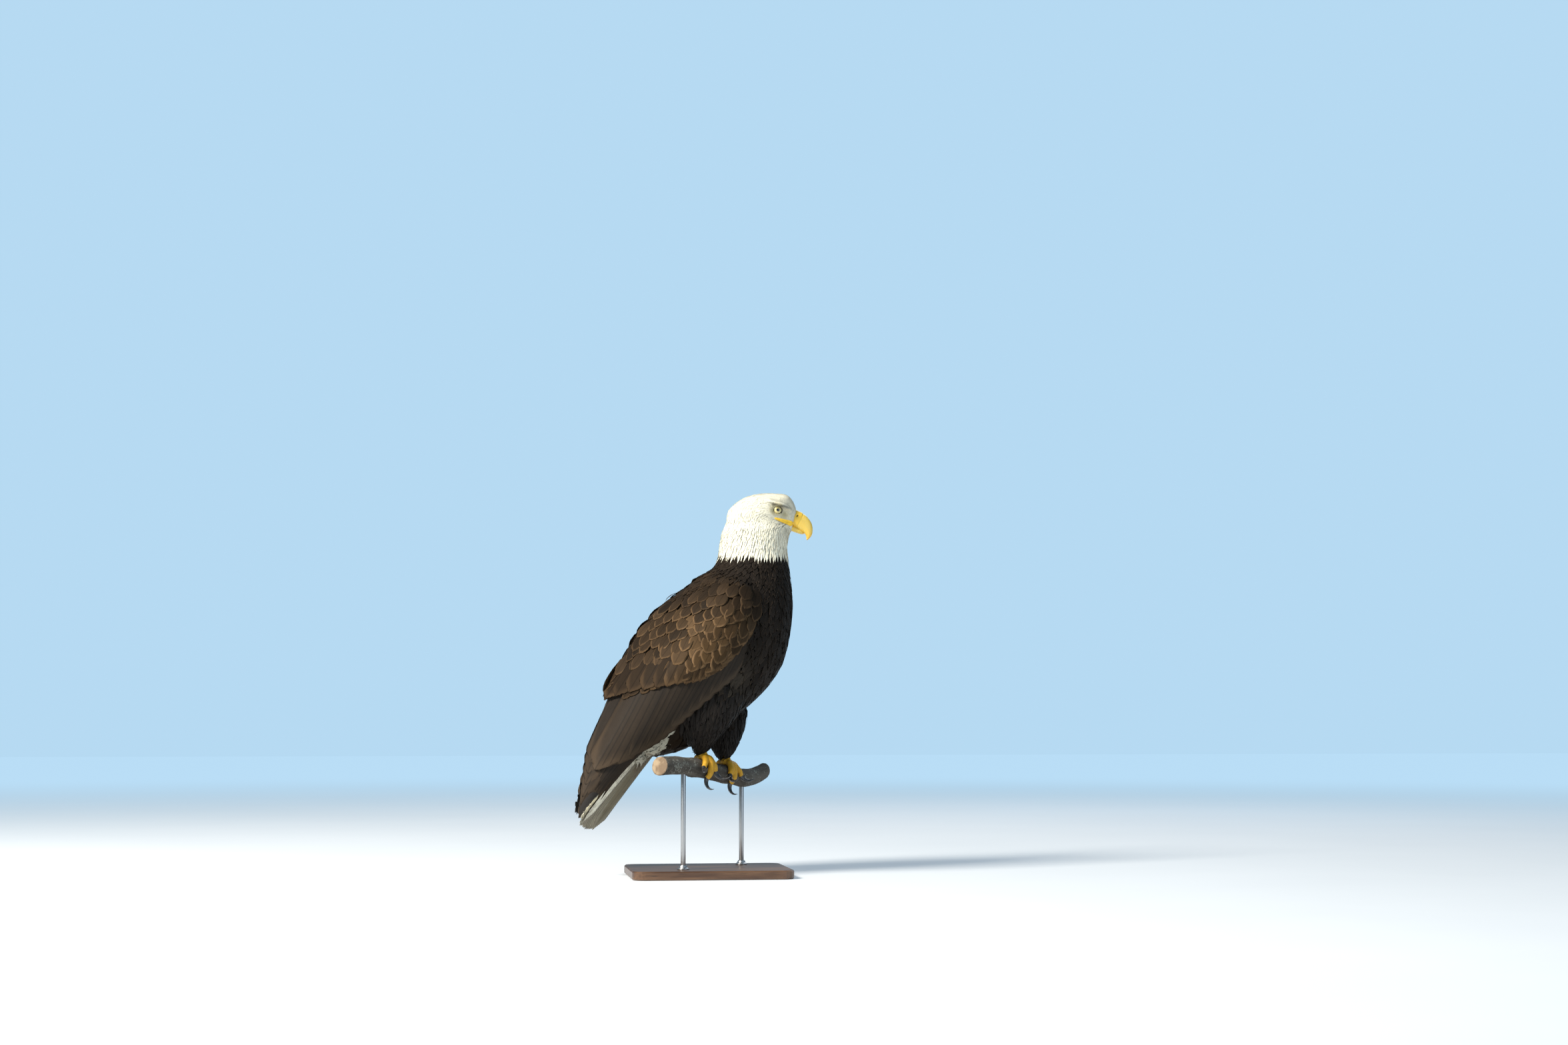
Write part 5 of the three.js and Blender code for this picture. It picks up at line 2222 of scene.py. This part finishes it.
# ------------------------------------------------------------------ plumage
def polygon_holds(corners: Sequence[tuple[float, float]], points: Points) -> Points:
    """Tells which points, seen from the side, lie inside a polygon.

    Args:
        corners: the polygon's x and z.
        points: rows of x, y and z.

    Returns:
        A truth for each point.
    """
    inside = np.zeros(len(points), dtype=bool)
    x, z = points[:, 0], points[:, 2]
    for (x0, z0), (x1, z1) in zip(corners, (*corners[1:], corners[0])):
        crosses = (z0 > z) != (z1 > z)
        where = x0 + (z - z0) / (z1 - z0 if z1 != z0 else 1e-9) * (x1 - x0)
        inside ^= crosses & (x < where)
    return inside


@dataclass
class Plumes:
    """Every tract of feathers on the bird."""

    coat: Coat
    finishes: Finishes
    covert_field: tuple = (
        (0.070, 0.596), (0.096, 0.580), (0.094, 0.552), (0.068, 0.510), (0.026, 0.462), (-0.026, 0.430),
        (-0.080, 0.416), (-0.150, 0.402), (-0.205, 0.396), (-0.200, 0.440), (-0.168, 0.480),
        (-0.130, 0.528), (-0.070, 0.572), (0.000, 0.600),
    )
    tail_ends: tuple[Vector, Vector] = (Vector((-0.124, 0.0, 0.267)), Vector((-0.262, 0.0, 0.105)))
    tail_turn: float = math.radians(30)

    def __post_init__(self) -> None:
        """Pairs every kind of feather with its slot and its finish."""
        made = self.finishes
        self.kinds = {
            "white": ("white_feather", made.white),
            "brown": ("brown_feather", made.brown),
            "dark": ("dark_feather", made.dark),
            "quill": ("dark_feather", made.quill),
            "tail": ("tail_feather", made.tail),
            "vent": ("white_feather", made.tail),
        }

    def build(self) -> None:
        """Lays every tract, from the tail up to the face."""
        self._tail()
        for side in Side:
            sheet = WingSheet(self.coat.form.body.tree, side)
            self._flight_feathers(side, sheet)
            self._greater_coverts(side, sheet)
            self._coverts(side)
            self._shoulder(side)
        self._trunk()
        self._legs()
        self._hackles()
        self._head()
        LOG.info("coat: %d triangles in all", self.coat.total)

    def _lay(self, name: str, kind: str, grown: Grown, vane: Vane, **options: float | Points) -> None:
        """Joins shaped feathers into a piece; their kind settles its finish."""
        slot, finish = self.kinds[kind]
        enlist(self.coat.piece(name, grown, vane, finish, **options), slot)

    def _grow(
        self, name: str, kind: str, surface: Surface, quills: Quills, vane: Vane, **options: float
    ) -> None:
        """Shapes a tract's feathers on a surface, then joins and enlists them."""
        self._lay(name, kind, self.coat.grown(surface, quills, vane), vane, **options)

    def _draw(self, name: str, kind: str, sheet: Sheet, blades: Blades, vane: Vane, **options: float) -> None:
        """Shapes long feathers on a sheet, then joins and enlists them."""
        self._lay(name, kind, self.coat.drawn(sheet, blades, vane), vane, **options)

    def _flow(self, points: Points) -> Points:
        """The way that contour feathers lie: tailwards, and down at the breast."""
        way = self.coat.line.tailwards(points)
        low = smooth_step(points[:, 2], 0.62, 0.40) * smooth_step(points[:, 0], 0.02, 0.12)
        way = way + np.array([0.0, 0.0, -0.5]) * low[:, None]
        high = smooth_step(points[:, 2], 0.57, 0.66)[:, None]
        back = smooth_step(points[:, 0], 0.11, 0.04)
        down = np.stack([-0.10 - 0.40 * back, 0 * back, -1 + 0 * back], 1)
        return unit(way * (1 - high) + down * high)

    @staticmethod
    def _face_flow(points: Points) -> Points:
        """The way that the head's feathers lie: back from the bill, then round and down the neck."""
        source = np.array(skull(0.085, 0.0, -0.004))
        away = unit((points - source) * np.array([1.0, 1.4, 1.0]))
        head = in_skull(points)
        back = smooth_step(head[:, 0], 0.030, -0.050)
        below = smooth_step(head[:, 2], 0.004, -0.042)
        share = np.clip(back * 0.9 + below * 0.9, 0, 1)[:, None]
        down = np.array([-0.16, 0.0, -1.0])
        return unit(away * (1 - share) + down * share)

    def _head(self) -> None:
        """The short white feathers of the head, finest round the eyes and bill."""
        surface = self.coat.form.head

        def length(points: Points) -> Points:
            """Shorter towards the bill and the eyes."""
            head = in_skull(points)
            face = smooth_step(head[:, 0], -0.010, 0.056)
            near = 1 - smooth_step(eye_gap(head), 0.010, 0.034)
            nape = smooth_step(points[:, 2], 0.75, 0.69)
            size = 0.0130 - 0.0072 * face - 0.0045 * near * (1 - face)
            return np.maximum(size, 0.0050) + 0.009 * nape

        def inside(points: Points, _normals: Points, _regions: Points) -> Points:
            """Off the eyes, the gape and the bill."""
            head = in_skull(points)
            side = np.abs(head[:, 1])
            clear = (eye_gap(head) > 0.0118) | (side < 0.015)
            front = head[:, 0] < 0.0668 + 0.004 * smooth_step(head[:, 2], 0.004, 0.014)
            band = 0.0032 * smooth_step(head[:, 0], 0.018, 0.045) + 0.0006
            gape = (head[:, 0] > 0.020) & (np.abs(head[:, 2] + 0.0134) < band) & (side > 0.01)
            return clear & front & ~gape & (points[:, 2] > 0.690)

        for side in Side:

            def half(points: Points, normals: Points, regions: Points, side: Side = side) -> Points:
                """The same, on one side of the head."""
                return inside(points, normals, regions) & (points[:, 1] * side.value >= 0)

            quills = self.coat.spread(
                surface, half, length, self._face_flow, plump=0.32, exposed=0.21, beside=0.50, tries=260000
            )
            quills = self._trimmed(quills, side)
            self._grow(f"coat_head_{side.word}", "white", surface, quills, HEAD_VANE, shade=0.03)
            quills = self._lid_quills(surface, side)
            self._grow(f"lid_feathers_{side.word}", "white", surface, quills, LID_VANE, shade=0.05)

    def _lid_quills(self, surface: Surface, side: Side) -> Quills:
        """Rings of the smallest feathers, which lie round the eye and meet behind it.

        Args:
            surface: the head's outer form.
            side: the eye's side.

        Returns:
            The feathers.
        """
        roots, ways = [], []
        for ring, radius in enumerate((0.0128, 0.0119, 0.0110, 0.0101)):
            count = 56 - 4 * ring
            for k in range(count):
                turn = math.tau * (k + 0.5 * (ring % 2)) / count
                front, top = math.cos(turn), math.sin(turn)
                back = smooth_step(np.array(-front), 0.0, 1.0)
                along = (-abs(top), math.copysign(front, top))
                aim = skull(EYE_CENTRE[0] + radius * front, side.value * 0.06, EYE_CENTRE[2] + radius * top)
                hit = surface.tree.ray_cast(aim, Vector((0, -side.value, 0)), 0.08)
                if hit[0] is None:
                    continue
                flat = [a * (1 - back) + b * back for a, b in zip(along, (front, top))]
                way = skull(flat[0] + 0.15 * front, 0.0, flat[1] + 0.15 * top) - HEAD_PLACE
                roots.append(hit[0])
                ways.append(way.normalized())
        count = len(roots)
        lengths = self.coat.rng.uniform(0.0028, 0.0038, count)
        head = np.full(count, Region.HEAD.index)
        return Quills(np.array(roots), np.array(ways), lengths, lengths * 0.36, head)

    @staticmethod
    def _trimmed(quills: Quills, side: Side) -> Quills:
        """Shortens the feathers that would lie over the eye.

        Args:
            quills: the feathers of half the head.
            side: which half.

        Returns:
            The feathers that are still long enough.
        """
        middle = np.array(skull(EYE_CENTRE[0], side.value * 0.034, EYE_CENTRE[2]))
        rim = 0.0098
        gap = middle - quills.roots
        ahead = (gap * quills.ways).sum(1)
        aside = np.linalg.norm(gap - quills.ways * ahead[:, None], axis=1)
        chord = np.sqrt(np.maximum(0.0, rim**2 - aside**2))
        limit = np.where((aside < rim) & (ahead > 0), ahead - chord, np.inf)
        quills.lengths = np.minimum(quills.lengths, np.maximum(limit, 0.0012))
        return quills.chosen(quills.lengths > 0.0022)

    def _hackles(self) -> None:
        """The long lance-shaped feathers of the neck, whose tips hang over the brown."""
        surface = self.coat.form.body

        def inside(points: Points, _normals: Points, _regions: Points) -> Points:
            """From the collar up to the nape."""
            white = self.coat.markings.white_share(points, np.zeros(len(points), dtype=int))
            return (points[:, 2] < 0.730) & (white > 0.5)

        def length(points: Points) -> Points:
            """Longest at the collar."""
            return 0.022 + 0.016 * smooth_step(points[:, 2], 0.730, 0.685)

        quills = self.coat.spread(
            surface, inside, length, self._face_flow, plump=0.21, exposed=0.13, beside=0.50, tries=200000
        )
        self._grow("coat_hackles", "white", surface, quills, HACKLE_VANE, shade=0.04)

    def _trunk(self) -> None:
        """The brown feathers of breast, belly, back and rump, and the white ones of the vent, which are
        darkened as painted shade.
        """
        surface = self.coat.form.body
        trunk = Region.TRUNK.index
        neck = Region.NECK.index

        def length(points: Points) -> Points:
            """Longer down the body."""
            low = smooth_step(points[:, 2], 0.66, 0.42)
            return 0.036 + 0.022 * low

        def brown(points: Points, _normals: Points, regions: Points) -> Points:
            """The trunk below the collar."""
            white = self.coat.markings.white_share(points, regions)
            return np.isin(regions, [trunk, neck]) & (white < 0.5) & (points[:, 2] < 0.71)

        def white(points: Points, _normals: Points, regions: Points) -> Points:
            """The vent, beneath the root of the tail."""
            share = self.coat.markings.white_share(points, regions)
            return (regions == trunk) & (share > 0.5) & (points[:, 2] < 0.5)

        def vent_flow(points: Points) -> Points:
            """Straight back along the tail."""
            return np.tile(np.array([[-0.62, 0.0, -0.78]]), (len(points), 1))

        quills = self.coat.spread(
            surface, brown, length, self._flow, plump=0.36, exposed=0.23, beside=0.52, tries=120000
        )
        quills.lifts = -0.0012 * smooth_step(quills.roots[:, 2], 0.655, 0.685)
        self._grow("coat_trunk", "brown", surface, quills, TRUNK_VANE, edge=0.04, shade=0.15)
        quills = self.coat.spread(
            surface, white, lambda p: np.full(len(p), 0.058), vent_flow, plump=0.34, exposed=0.2, beside=0.6
        )
        grown = self.coat.grown(surface, quills, TRUNK_VANE)
        # Painted shade: the white vent feathers are darkened, as the vent lies in shade.
        grown.tints = grown.tints * 0.55
        self._lay("coat_vent", "vent", grown, TRUNK_VANE, shade=0.08)

    def _legs(self) -> None:
        """The dark drooping feathers of the thighs."""
        surface = self.coat.form.body
        thigh = Region.THIGH.index

        def down(points: Points) -> Points:
            """Down the leg, and a little back."""
            return np.tile(np.array([[-0.12, 0.0, -1.0]]), (len(points), 1))

        def length(points: Points) -> Points:
            """Shorter towards the foot."""
            return 0.024 + 0.024 * smooth_step(points[:, 2], 0.25, 0.38)

        quills = self.coat.spread(
            surface, lambda p, n, r: r == thigh, length, down, plump=0.30, exposed=0.20, beside=0.52,
            tries=90000,
        )
        self._grow("coat_legs", "dark", surface, quills, LEG_VANE, edge=0.2, shade=0.2)

    def _fan(
        self, roots: Sequence, tips: Sequence, count: int, width: tuple, lift: tuple, tint: Colour
    ) -> Blades:
        """A row of long feathers whose roots and tips follow two lines.

        Args:
            roots: the line of the roots, from the lowest feather to the one that lies on top.
            tips: the line of the tips, in the same order.
            count: how many feathers.
            width: the lowest's and the top one's width.
            lift: the lowest's and the top one's height.
            tint: their colour.

        Returns:
            The feathers.
        """
        share = np.linspace(0, 1, count)
        start = np.array([curve(roots, t) for t in share])
        end = np.array([curve(tips, t) for t in share])
        end = end + (end - start) * self.coat.rng.normal(0, 0.010, (count, 1))
        return Blades(start, end, np.linspace(*width, count), np.linspace(*lift, count), rows_of(tint, count))

    def _flight_feathers(self, side: Side, sheet: Sheet) -> None:
        """The long stiff feathers of one folded wing, each partly under the next.

        Args:
            side: the bird's side.
            sheet: the wing's outer side.
        """
        primaries = self._fan(
            ((-0.092, 0.325), (-0.128, 0.370), (-0.158, 0.420)),
            ((-0.268, 0.122), (-0.262, 0.156), (-0.244, 0.232)),
            8, (0.036, 0.034), (0.0002, 0.0030), PALETTE.primary,
        )
        primaries.bow = np.linspace(0.046, 0.010, 8)
        name = f"primaries_{side.word}_wing"
        self._draw(name, "quill", sheet, primaries, QUILL_VANE, edge=0.25, patch=0.03, shade=0.08)
        secondaries = self._fan(
            ((0.094, 0.545), (0.020, 0.490), (-0.060, 0.445), (-0.118, 0.440)),
            ((0.020, 0.400), (-0.074, 0.322), (-0.156, 0.256), (-0.233, 0.218)),
            16, (0.034, 0.048), (0.0034, 0.0085), PALETTE.secondary,
        )
        secondaries.bow = -0.010
        name = f"secondaries_{side.word}_wing"
        self._draw(name, "quill", sheet, secondaries, QUILL_VANE, edge=0.35, patch=0.03, shade=0.12)

    def _greater_coverts(self, side: Side, sheet: Sheet) -> None:
        """The longest coverts, over the roots of the flight feathers.

        Args:
            side: the bird's side.
            sheet: the wing's outer side.
        """
        blades = self._fan(
            ((0.108, 0.590), (0.060, 0.530), (0.010, 0.500), (-0.060, 0.482), (-0.150, 0.460)),
            ((0.052, 0.484), (0.006, 0.430), (-0.040, 0.400), (-0.110, 0.386), (-0.205, 0.362)),
            18, (0.034, 0.040), (0.0072, 0.0100), PALETTE.brown,
        )
        wing = np.full(len(blades.roots), Region.WING.index)
        places = sheet.point(blades.tips)
        blades.tints = self.coat.markings.colours(places, wing)
        grown = self.coat.drawn(sheet, blades, GREATER_VANE)
        rims = self._rims(places) * 0.9
        name = f"greater_coverts_{side.word}"
        self._lay(name, "brown", grown, GREATER_VANE, edge=rims, patch=0.02, shade=0.12)

    def _rims(self, places: Points) -> Points:
        """How pale the rims of the wing's feathers are: palest in the faded patch, which is partly painted
        light where the wing is lit, and never quite alike.

        Args:
            places: the feathers' places.

        Returns:
            One number for each.
        """
        share = 0.22 + 0.78 * FADED_AND_LIT.share(places)
        share = share * (1 - 0.6 * smooth_step(places[:, 2], 0.54, 0.62))
        return share * self.coat.rng.uniform(0.45, 1.15, len(places))

    @staticmethod
    def _wing_flow(points: Points) -> Points:
        """The way that the wing's feathers lie, turning back towards the wing's tip."""
        low = smooth_step(points[:, 2], 0.60, 0.24)[:, None]
        way = np.array([-0.42, 0.0, -0.91]) * (1 - low) + np.array([-0.62, 0.0, -0.78]) * low
        return unit(way)

    def _coverts(self, side: Side) -> None:
        """The rows of rounded, pale-edged coverts and shoulder feathers over a wing.

        Args:
            side: the bird's side.
        """
        surface = self.coat.form.body
        rng = self.coat.rng
        start, flow, cross = np.array([-0.03, 0.52]), np.array([-0.50, -0.866]), np.array([0.866, -0.50])
        row_gap, gap = 0.0138, 0.0232
        rows, columns = np.meshgrid(np.arange(-34, 36), np.arange(-20, 22), indexing="ij")
        shifted = columns + 0.5 * (rows % 2)
        flat = start + flow * (rows * row_gap)[..., None] + cross * (shifted * gap)[..., None]
        flat = flat.reshape(-1, 2) + rng.normal(0, 0.0026, (rows.size, 2))
        places = np.stack([flat[:, 0], np.full(len(flat), side.value * 0.3), flat[:, 1]], 1)
        places = places[polygon_holds(self.covert_field, places)]
        found = [surface.tree.ray_cast(Vector(p), Vector((0, -side.value, 0)), 0.3)[0] for p in places]
        found = np.array([hit for hit in found if hit is not None])
        count = len(found)
        down = smooth_step(found[:, 2], 0.64, 0.44)
        ways = unit(self._wing_flow(found) + rng.normal(0, 0.07, (count, 3)))
        wing = np.full(count, Region.WING.index)
        quills = Quills(
            found,
            ways,
            (0.034 + 0.012 * down) * rng.uniform(0.90, 1.12, count),
            (0.028 + 0.006 * down) * rng.uniform(0.90, 1.12, count),
            wing,
            np.full(count, 0.0046),
            self.coat.markings.colours(found, wing),
        )
        grown = self.coat.grown(surface, quills, COVERT_VANE)
        rims = self._rims(grown.roots)
        self._lay(f"coverts_{side.word}", "brown", grown, COVERT_VANE, edge=rims, shade=0.34)

    def _shoulder(self, side: Side) -> None:
        """Soft feathers over the rest of the wing: its upper edge, its front and its root.

        Args:
            side: the bird's side.
        """
        surface = self.coat.form.body
        wing = Region.WING.index

        def inside(points: Points, normals: Points, regions: Points) -> Points:
            """The wing's skin outside the rows."""
            mine = (regions == wing) & (points[:, 1] * side.value > 0)
            outer = polygon_holds(self.covert_field, points) & (normals[:, 1] * side.value > 0.90)
            return mine & ~outer & (points[:, 2] > 0.40)

        quills = self.coat.spread(
            surface, inside, lambda p: np.full(len(p), 0.038), self._wing_flow, plump=0.42, exposed=0.22,
            beside=0.52, tries=90000,
        )
        grown = self.coat.grown(surface, quills, SHOULDER_VANE)
        rims = self._rims(grown.roots) * 0.6
        self._lay(f"shoulder_{side.word}", "brown", grown, SHOULDER_VANE, edge=rims, shade=0.22)

    def _tail(self) -> None:
        """Twelve white tail feathers in a shallow roof, seen from above and from below; the underside is
        painted darker as shade.
        """
        root, tip = self.tail_ends
        ahead = (tip - root).normalized()
        up = ahead.cross(Vector((0, 1, 0))).normalized()
        up = up if up.z > 0 else -up
        turn = Matrix.Rotation(self.tail_turn, 3, ahead)
        up, wide = turn @ up, turn @ Vector((0, 1, 0))
        long = (tip - root).length
        for name, facing, places in (("upper", 1, (6, 5, 4, 3, 2, 1)), ("under", -1, (1, 2, 3, 4, 5, 6))):
            start = root if facing > 0 else root - up * 0.0016
            sheet = TailSheet(np.array(start), np.array(ahead), np.array(wide), np.array(up), facing)
            share = np.array([(place - 0.5) / 6 * side for place in places for side in (-1, 1)])
            count = len(share)
            roots = np.stack([share * 0.016, np.full(count, -0.035)], 1)
            tips = np.stack([share * 0.031, long * (1.0 - 0.05 * share**2)], 1)
            shaded = rows_of(PALETTE.white, count)
            # Painted shade: on the underside every feather but the outermost near ones is darkened, and the
            # pale rims there are kept fainter.
            if facing < 0:
                shaded = blend_colours(shaded, PALETTE.under_tail, 0.92 * (share > -0.8))
            lifts = np.linspace(0.0004, 0.0060 if facing > 0 else 0.0040, count)
            blades = Blades(roots, tips, np.full(count, 0.034), lifts, shaded)
            rim = 0.3 if facing > 0 else 0.15
            self._draw(f"tail_{name}", "tail", sheet, blades, TAIL_VANE, edge=rim, patch=0.03, shade=0.05)


# ------------------------------------------------------------------ perch and stand
@dataclass
class Perch:
    """The cut branch that the bird stands on."""

    rings: int = 190
    sides: int = 72
    caps: int = 6
    knots: tuple = ((0.08, 2.4, 0.16), (0.90, 4.0, 0.20), (0.30, 3.4, 0.10), (0.70, 2.7, 0.10))

    def build(self, bark: bpy.types.Material, cut: bpy.types.Material) -> None:
        """Makes the branch.

        Args:
            bark: the finish of its side.
            cut: the finish of its ends.
        """
        bm = bmesh.new()
        grain = bm.verts.layers.float_vector.new("grain")
        ring = bm.verts.layers.float.new("ring")
        rows = self.rings + 2 * self.caps
        grid = bmesh.ops.create_grid(bm, x_segments=self.sides, y_segments=rows, size=0.5)["verts"]
        for vert in grid:
            row = round((vert.co.y + 0.5) * rows) - self.caps
            share = 1.0
            if row < 0:
                share = 1 + row / self.caps
            elif row > self.rings:
                share = 1 - (row - self.rings) / self.caps
            t = min(max(row / self.rings, 0.0), 1.0)
            angle = (vert.co.x + 0.5) * math.tau
            along = (t - 0.5) * BRANCH.length
            reach = self._radius(t, angle) * share
            out = BRANCH.front * math.sin(angle) + BRANCH.up * math.cos(angle)
            vert.co = BRANCH.point(along) + out * reach
            vert[grain] = Vector((math.cos(angle) * BRANCH.radius, along, math.sin(angle) * BRANCH.radius))
            vert[ring] = share
        bmesh.ops.remove_doubles(bm, verts=bm.verts, dist=1e-6)
        bmesh.ops.recalc_face_normals(bm, faces=bm.faces)
        for face in bm.faces:
            face.material_index = int(sum(v[ring] for v in face.verts) / len(face.verts) < 0.95)
        piece = adopt(finished(bm, "branch"), "branch", bark)
        piece.data.materials.append(cut)
        enlist(piece, "bark", "perch")

    def _radius(self, t: float, angle: float) -> float:
        """The branch's radius: its swellings, its knots and its furrows.

        Args:
            t: how far along it is.
            angle: round it, from the top.

        Returns:
            The radius.
        """
        # The frame's branch has the same swellings.
        i = t * 13
        size = 1 + 0.04 * math.sin(i * 1.9) + 0.03 * math.cos(i * 3.1)
        furrows = 0.010 * math.sin(7 * angle + 5 * math.sin(t * 9))
        furrows *= math.sin(t * 60 + 3 * math.cos(angle * 2))
        furrows += 0.007 * math.sin(17 * angle + 11 * math.sin(t * 23 + angle))
        knots = 0.0
        for place, turn, high in self.knots:
            gap = math.remainder(angle - turn, math.tau) * BRANCH.radius
            far = math.hypot((t - place) * BRANCH.length, gap)
            knots += high * (math.exp(-((far / 0.008) ** 2)) - 0.55 * math.exp(-((far / 0.0032) ** 2)))
        return BRANCH.radius * (size + furrows + knots)


@dataclass
class Stand:
    """The turned rods and collars, and the finish of the wooden base."""

    places: tuple[float, float] = (-0.104, 0.104)
    radius: float = 0.005
    collar: float = 0.012
    collar_tall: float = 0.009
    base_top: float = 0.018

    def build(self, steel: bpy.types.Material, wood: bpy.types.Material) -> None:
        """Makes the metalwork and gives the base its wood.

        Args:
            steel: the finish of rods and collars.
            wood: the finish of the base.
        """
        for index, along in enumerate(self.places, 1):
            top = BRANCH.point(along)
            self._turned(f"rod_{index}", top, self._rod(top.z), steel)
            self._turned(f"collar_{index}", top, self._collar(), steel)
        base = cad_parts["stand_base"]
        for index in range(max(1, len(base.material_slots))):
            if base.material_slots:
                base.material_slots[index].material = wood
            else:
                base.data.materials.append(wood)

    def _rod(self, top: float) -> list[tuple[float, float]]:
        """The rod's outline, from its foot up."""
        low, high = self.base_top - 0.0095, top - 0.004
        return [(1e-5, low), (self.radius, low), (self.radius, high), (1e-5, high)]

    def _collar(self) -> list[tuple[float, float]]:
        """The collar's outline: a foot, a cove and a rounded neck."""
        low, high = self.base_top + 0.0004, self.base_top + self.collar_tall
        inner, outer = self.radius + 0.0003, self.collar
        return [
            (inner, low),
            (outer, low),
            (outer, low + 0.0022),
            (outer - 0.0008, low + 0.0030),
            (outer - 0.0030, low + 0.0040),
            (outer - 0.0042, high - 0.0016),
            (outer - 0.0048, high),
            (inner, high),
        ]

    @staticmethod
    def _turned(name: str, place: Vector, outline: list, steel: bpy.types.Material) -> None:
        """Spins an outline into a piece.

        Args:
            name: the piece's name, and its node's without the stand's prefix.
            place: the axis' place.
            outline: radius and height, in order.
            steel: its finish.
        """
        bm = bmesh.new()
        verts = [bm.verts.new((place.x + r, place.y, z)) for r, z in outline]
        edges = [bm.edges.new(pair) for pair in zip(verts, verts[1:])]
        if outline[0][0] > 1e-4:
            edges.append(bm.edges.new((verts[-1], verts[0])))
        bmesh.ops.spin(
            bm, geom=verts + edges, cent=(place.x, place.y, 0), axis=(0, 0, 1), angle=math.tau,
            steps=48, use_merge=True, use_duplicate=False,
        )
        bmesh.ops.remove_doubles(bm, verts=bm.verts, dist=3e-5)
        bmesh.ops.recalc_face_normals(bm, faces=bm.faces)
        sharp = [edge for edge in bm.edges if len(edge.link_faces) == 2 and edge.calc_face_angle() > 0.6]
        bmesh.ops.bevel(bm, geom=sharp, offset=0.0003, segments=2, affect="EDGES", profile=0.5, material=-1)
        modelled(bm, name, steel, "rod_steel", f"stand_{name}")


# ------------------------------------------------------------------ studio
@dataclass
class Studio:
    """The floor, lights, backdrop colour and camera."""

    azimuth: float = math.radians(-8.0)
    elevation: float = math.radians(-4.5)
    distance: float = 5.0
    across: float = 0.157
    middle: float = 0.730
    frame_width: float = 3.246
    glow: float = 0.36

    def build(self, floor: bpy.types.Material) -> None:
        """Sets the studio up.

        Args:
            floor: the floor's finish.
        """
        bm = bmesh.new()
        bmesh.ops.create_grid(bm, x_segments=1, y_segments=1, size=14.0)
        ground = adopt(finished(bm, "floor"), "floor", floor)
        ground.location.z = -0.0002
        self._camera()
        self._light("key", (-3.7, -2.5, 3.6), 1.6, 620, (1.0, 0.95, 0.86))
        self._light("fill", (3.2, -3.4, 1.6), 3.2, 30, (0.80, 0.89, 1.0))
        self._light("rim", (1.8, 3.4, 3.2), 2.4, 50, (0.92, 0.95, 1.0))
        self._backdrop()
        bpy.context.scene.view_settings.view_transform = "Standard"

    def _backdrop(self) -> None:
        """A pale blue backdrop, with a weaker glow of its own colour as fill light."""
        world = bpy.data.worlds.new("studio")
        bpy.context.scene.world = world
        world.use_nodes = True
        graph = Graph(world.node_tree)
        seen = graph.add("ShaderNodeBackground", Color=PALETTE.backdrop, Strength=1.0)
        glow = graph.add("ShaderNodeBackground", Color=PALETTE.backdrop, Strength=self.glow)
        path = graph.add("ShaderNodeLightPath")
        both = graph.add("ShaderNodeMixShader", Fac=path.outputs["Is Camera Ray"])
        graph.put(both.inputs[1], glow.outputs[0])
        graph.put(both.inputs[2], seen.outputs[0])
        graph.add("ShaderNodeOutputWorld", Surface=both.outputs[0])

    def _camera(self) -> None:
        """Puts the camera at the viewing angle."""
        a, e = self.azimuth, self.elevation
        right = Vector((math.cos(a), math.sin(a), 0.0))
        back = Vector((math.sin(a) * math.cos(e), -math.cos(a) * math.cos(e), math.sin(e)))
        up = back.cross(right)
        pivot = Vector((0.0, 0.0, 0.235))
        aim = pivot + right * self.across + up * (self.middle - pivot.z)
        data = bpy.data.cameras.new("camera")
        data.angle = 2 * math.atan(self.frame_width / 2 / self.distance)
        camera = bpy.data.objects.new("camera", data)
        bpy.context.scene.collection.objects.link(camera)
        camera.location = aim + back * self.distance
        camera.rotation_mode = "QUATERNION"
        camera.rotation_quaternion = (-back).to_track_quat("-Z", "Y")
        bpy.context.scene.camera = camera

    @staticmethod
    def _light(name: str, place: tuple, size: float, power: float, colour: Colour) -> None:
        """Adds a soft square light aimed at the bird.

        Args:
            name: the light's name.
            place: where it hangs.
            size: its side.
            power: its power in watts.
            colour: its colour.
        """
        data = bpy.data.lights.new(name, "AREA")
        data.size, data.energy, data.color = size, power, colour
        lamp = bpy.data.objects.new(name, data)
        bpy.context.scene.collection.objects.link(lamp)
        lamp.location = place
        aim = Vector((0.0, 0.0, 0.45)) - lamp.location
        lamp.rotation_euler = aim.to_track_quat("-Z", "Y").to_euler()


def main() -> None:
    """Builds every piece in order."""
    logging.basicConfig(level=logging.INFO, format="%(name)s: %(message)s")
    finishes = Finishes()
    Studio().build(finishes.floor)
    form = Form()
    markings = Markings()
    rng = np.random.default_rng(SEED)
    skin = Skin(form, markings)
    skin.add_body()
    skin.add_lids()
    skin.add_gape(form.head)
    skin.add_feet(Feet())
    skin.build(finishes.skin)
    Plumes(Coat(form, CentreLine(), markings, rng), finishes).build()
    Bill().build(finishes.bill)
    Eyes().build(finishes.eye)
    Claws().build(finishes.claw)
    Perch().build(finishes.bark, finishes.cut_wood)
    Stand().build(finishes.steel, finishes.walnut)


if __name__ == "__main__":
    main()
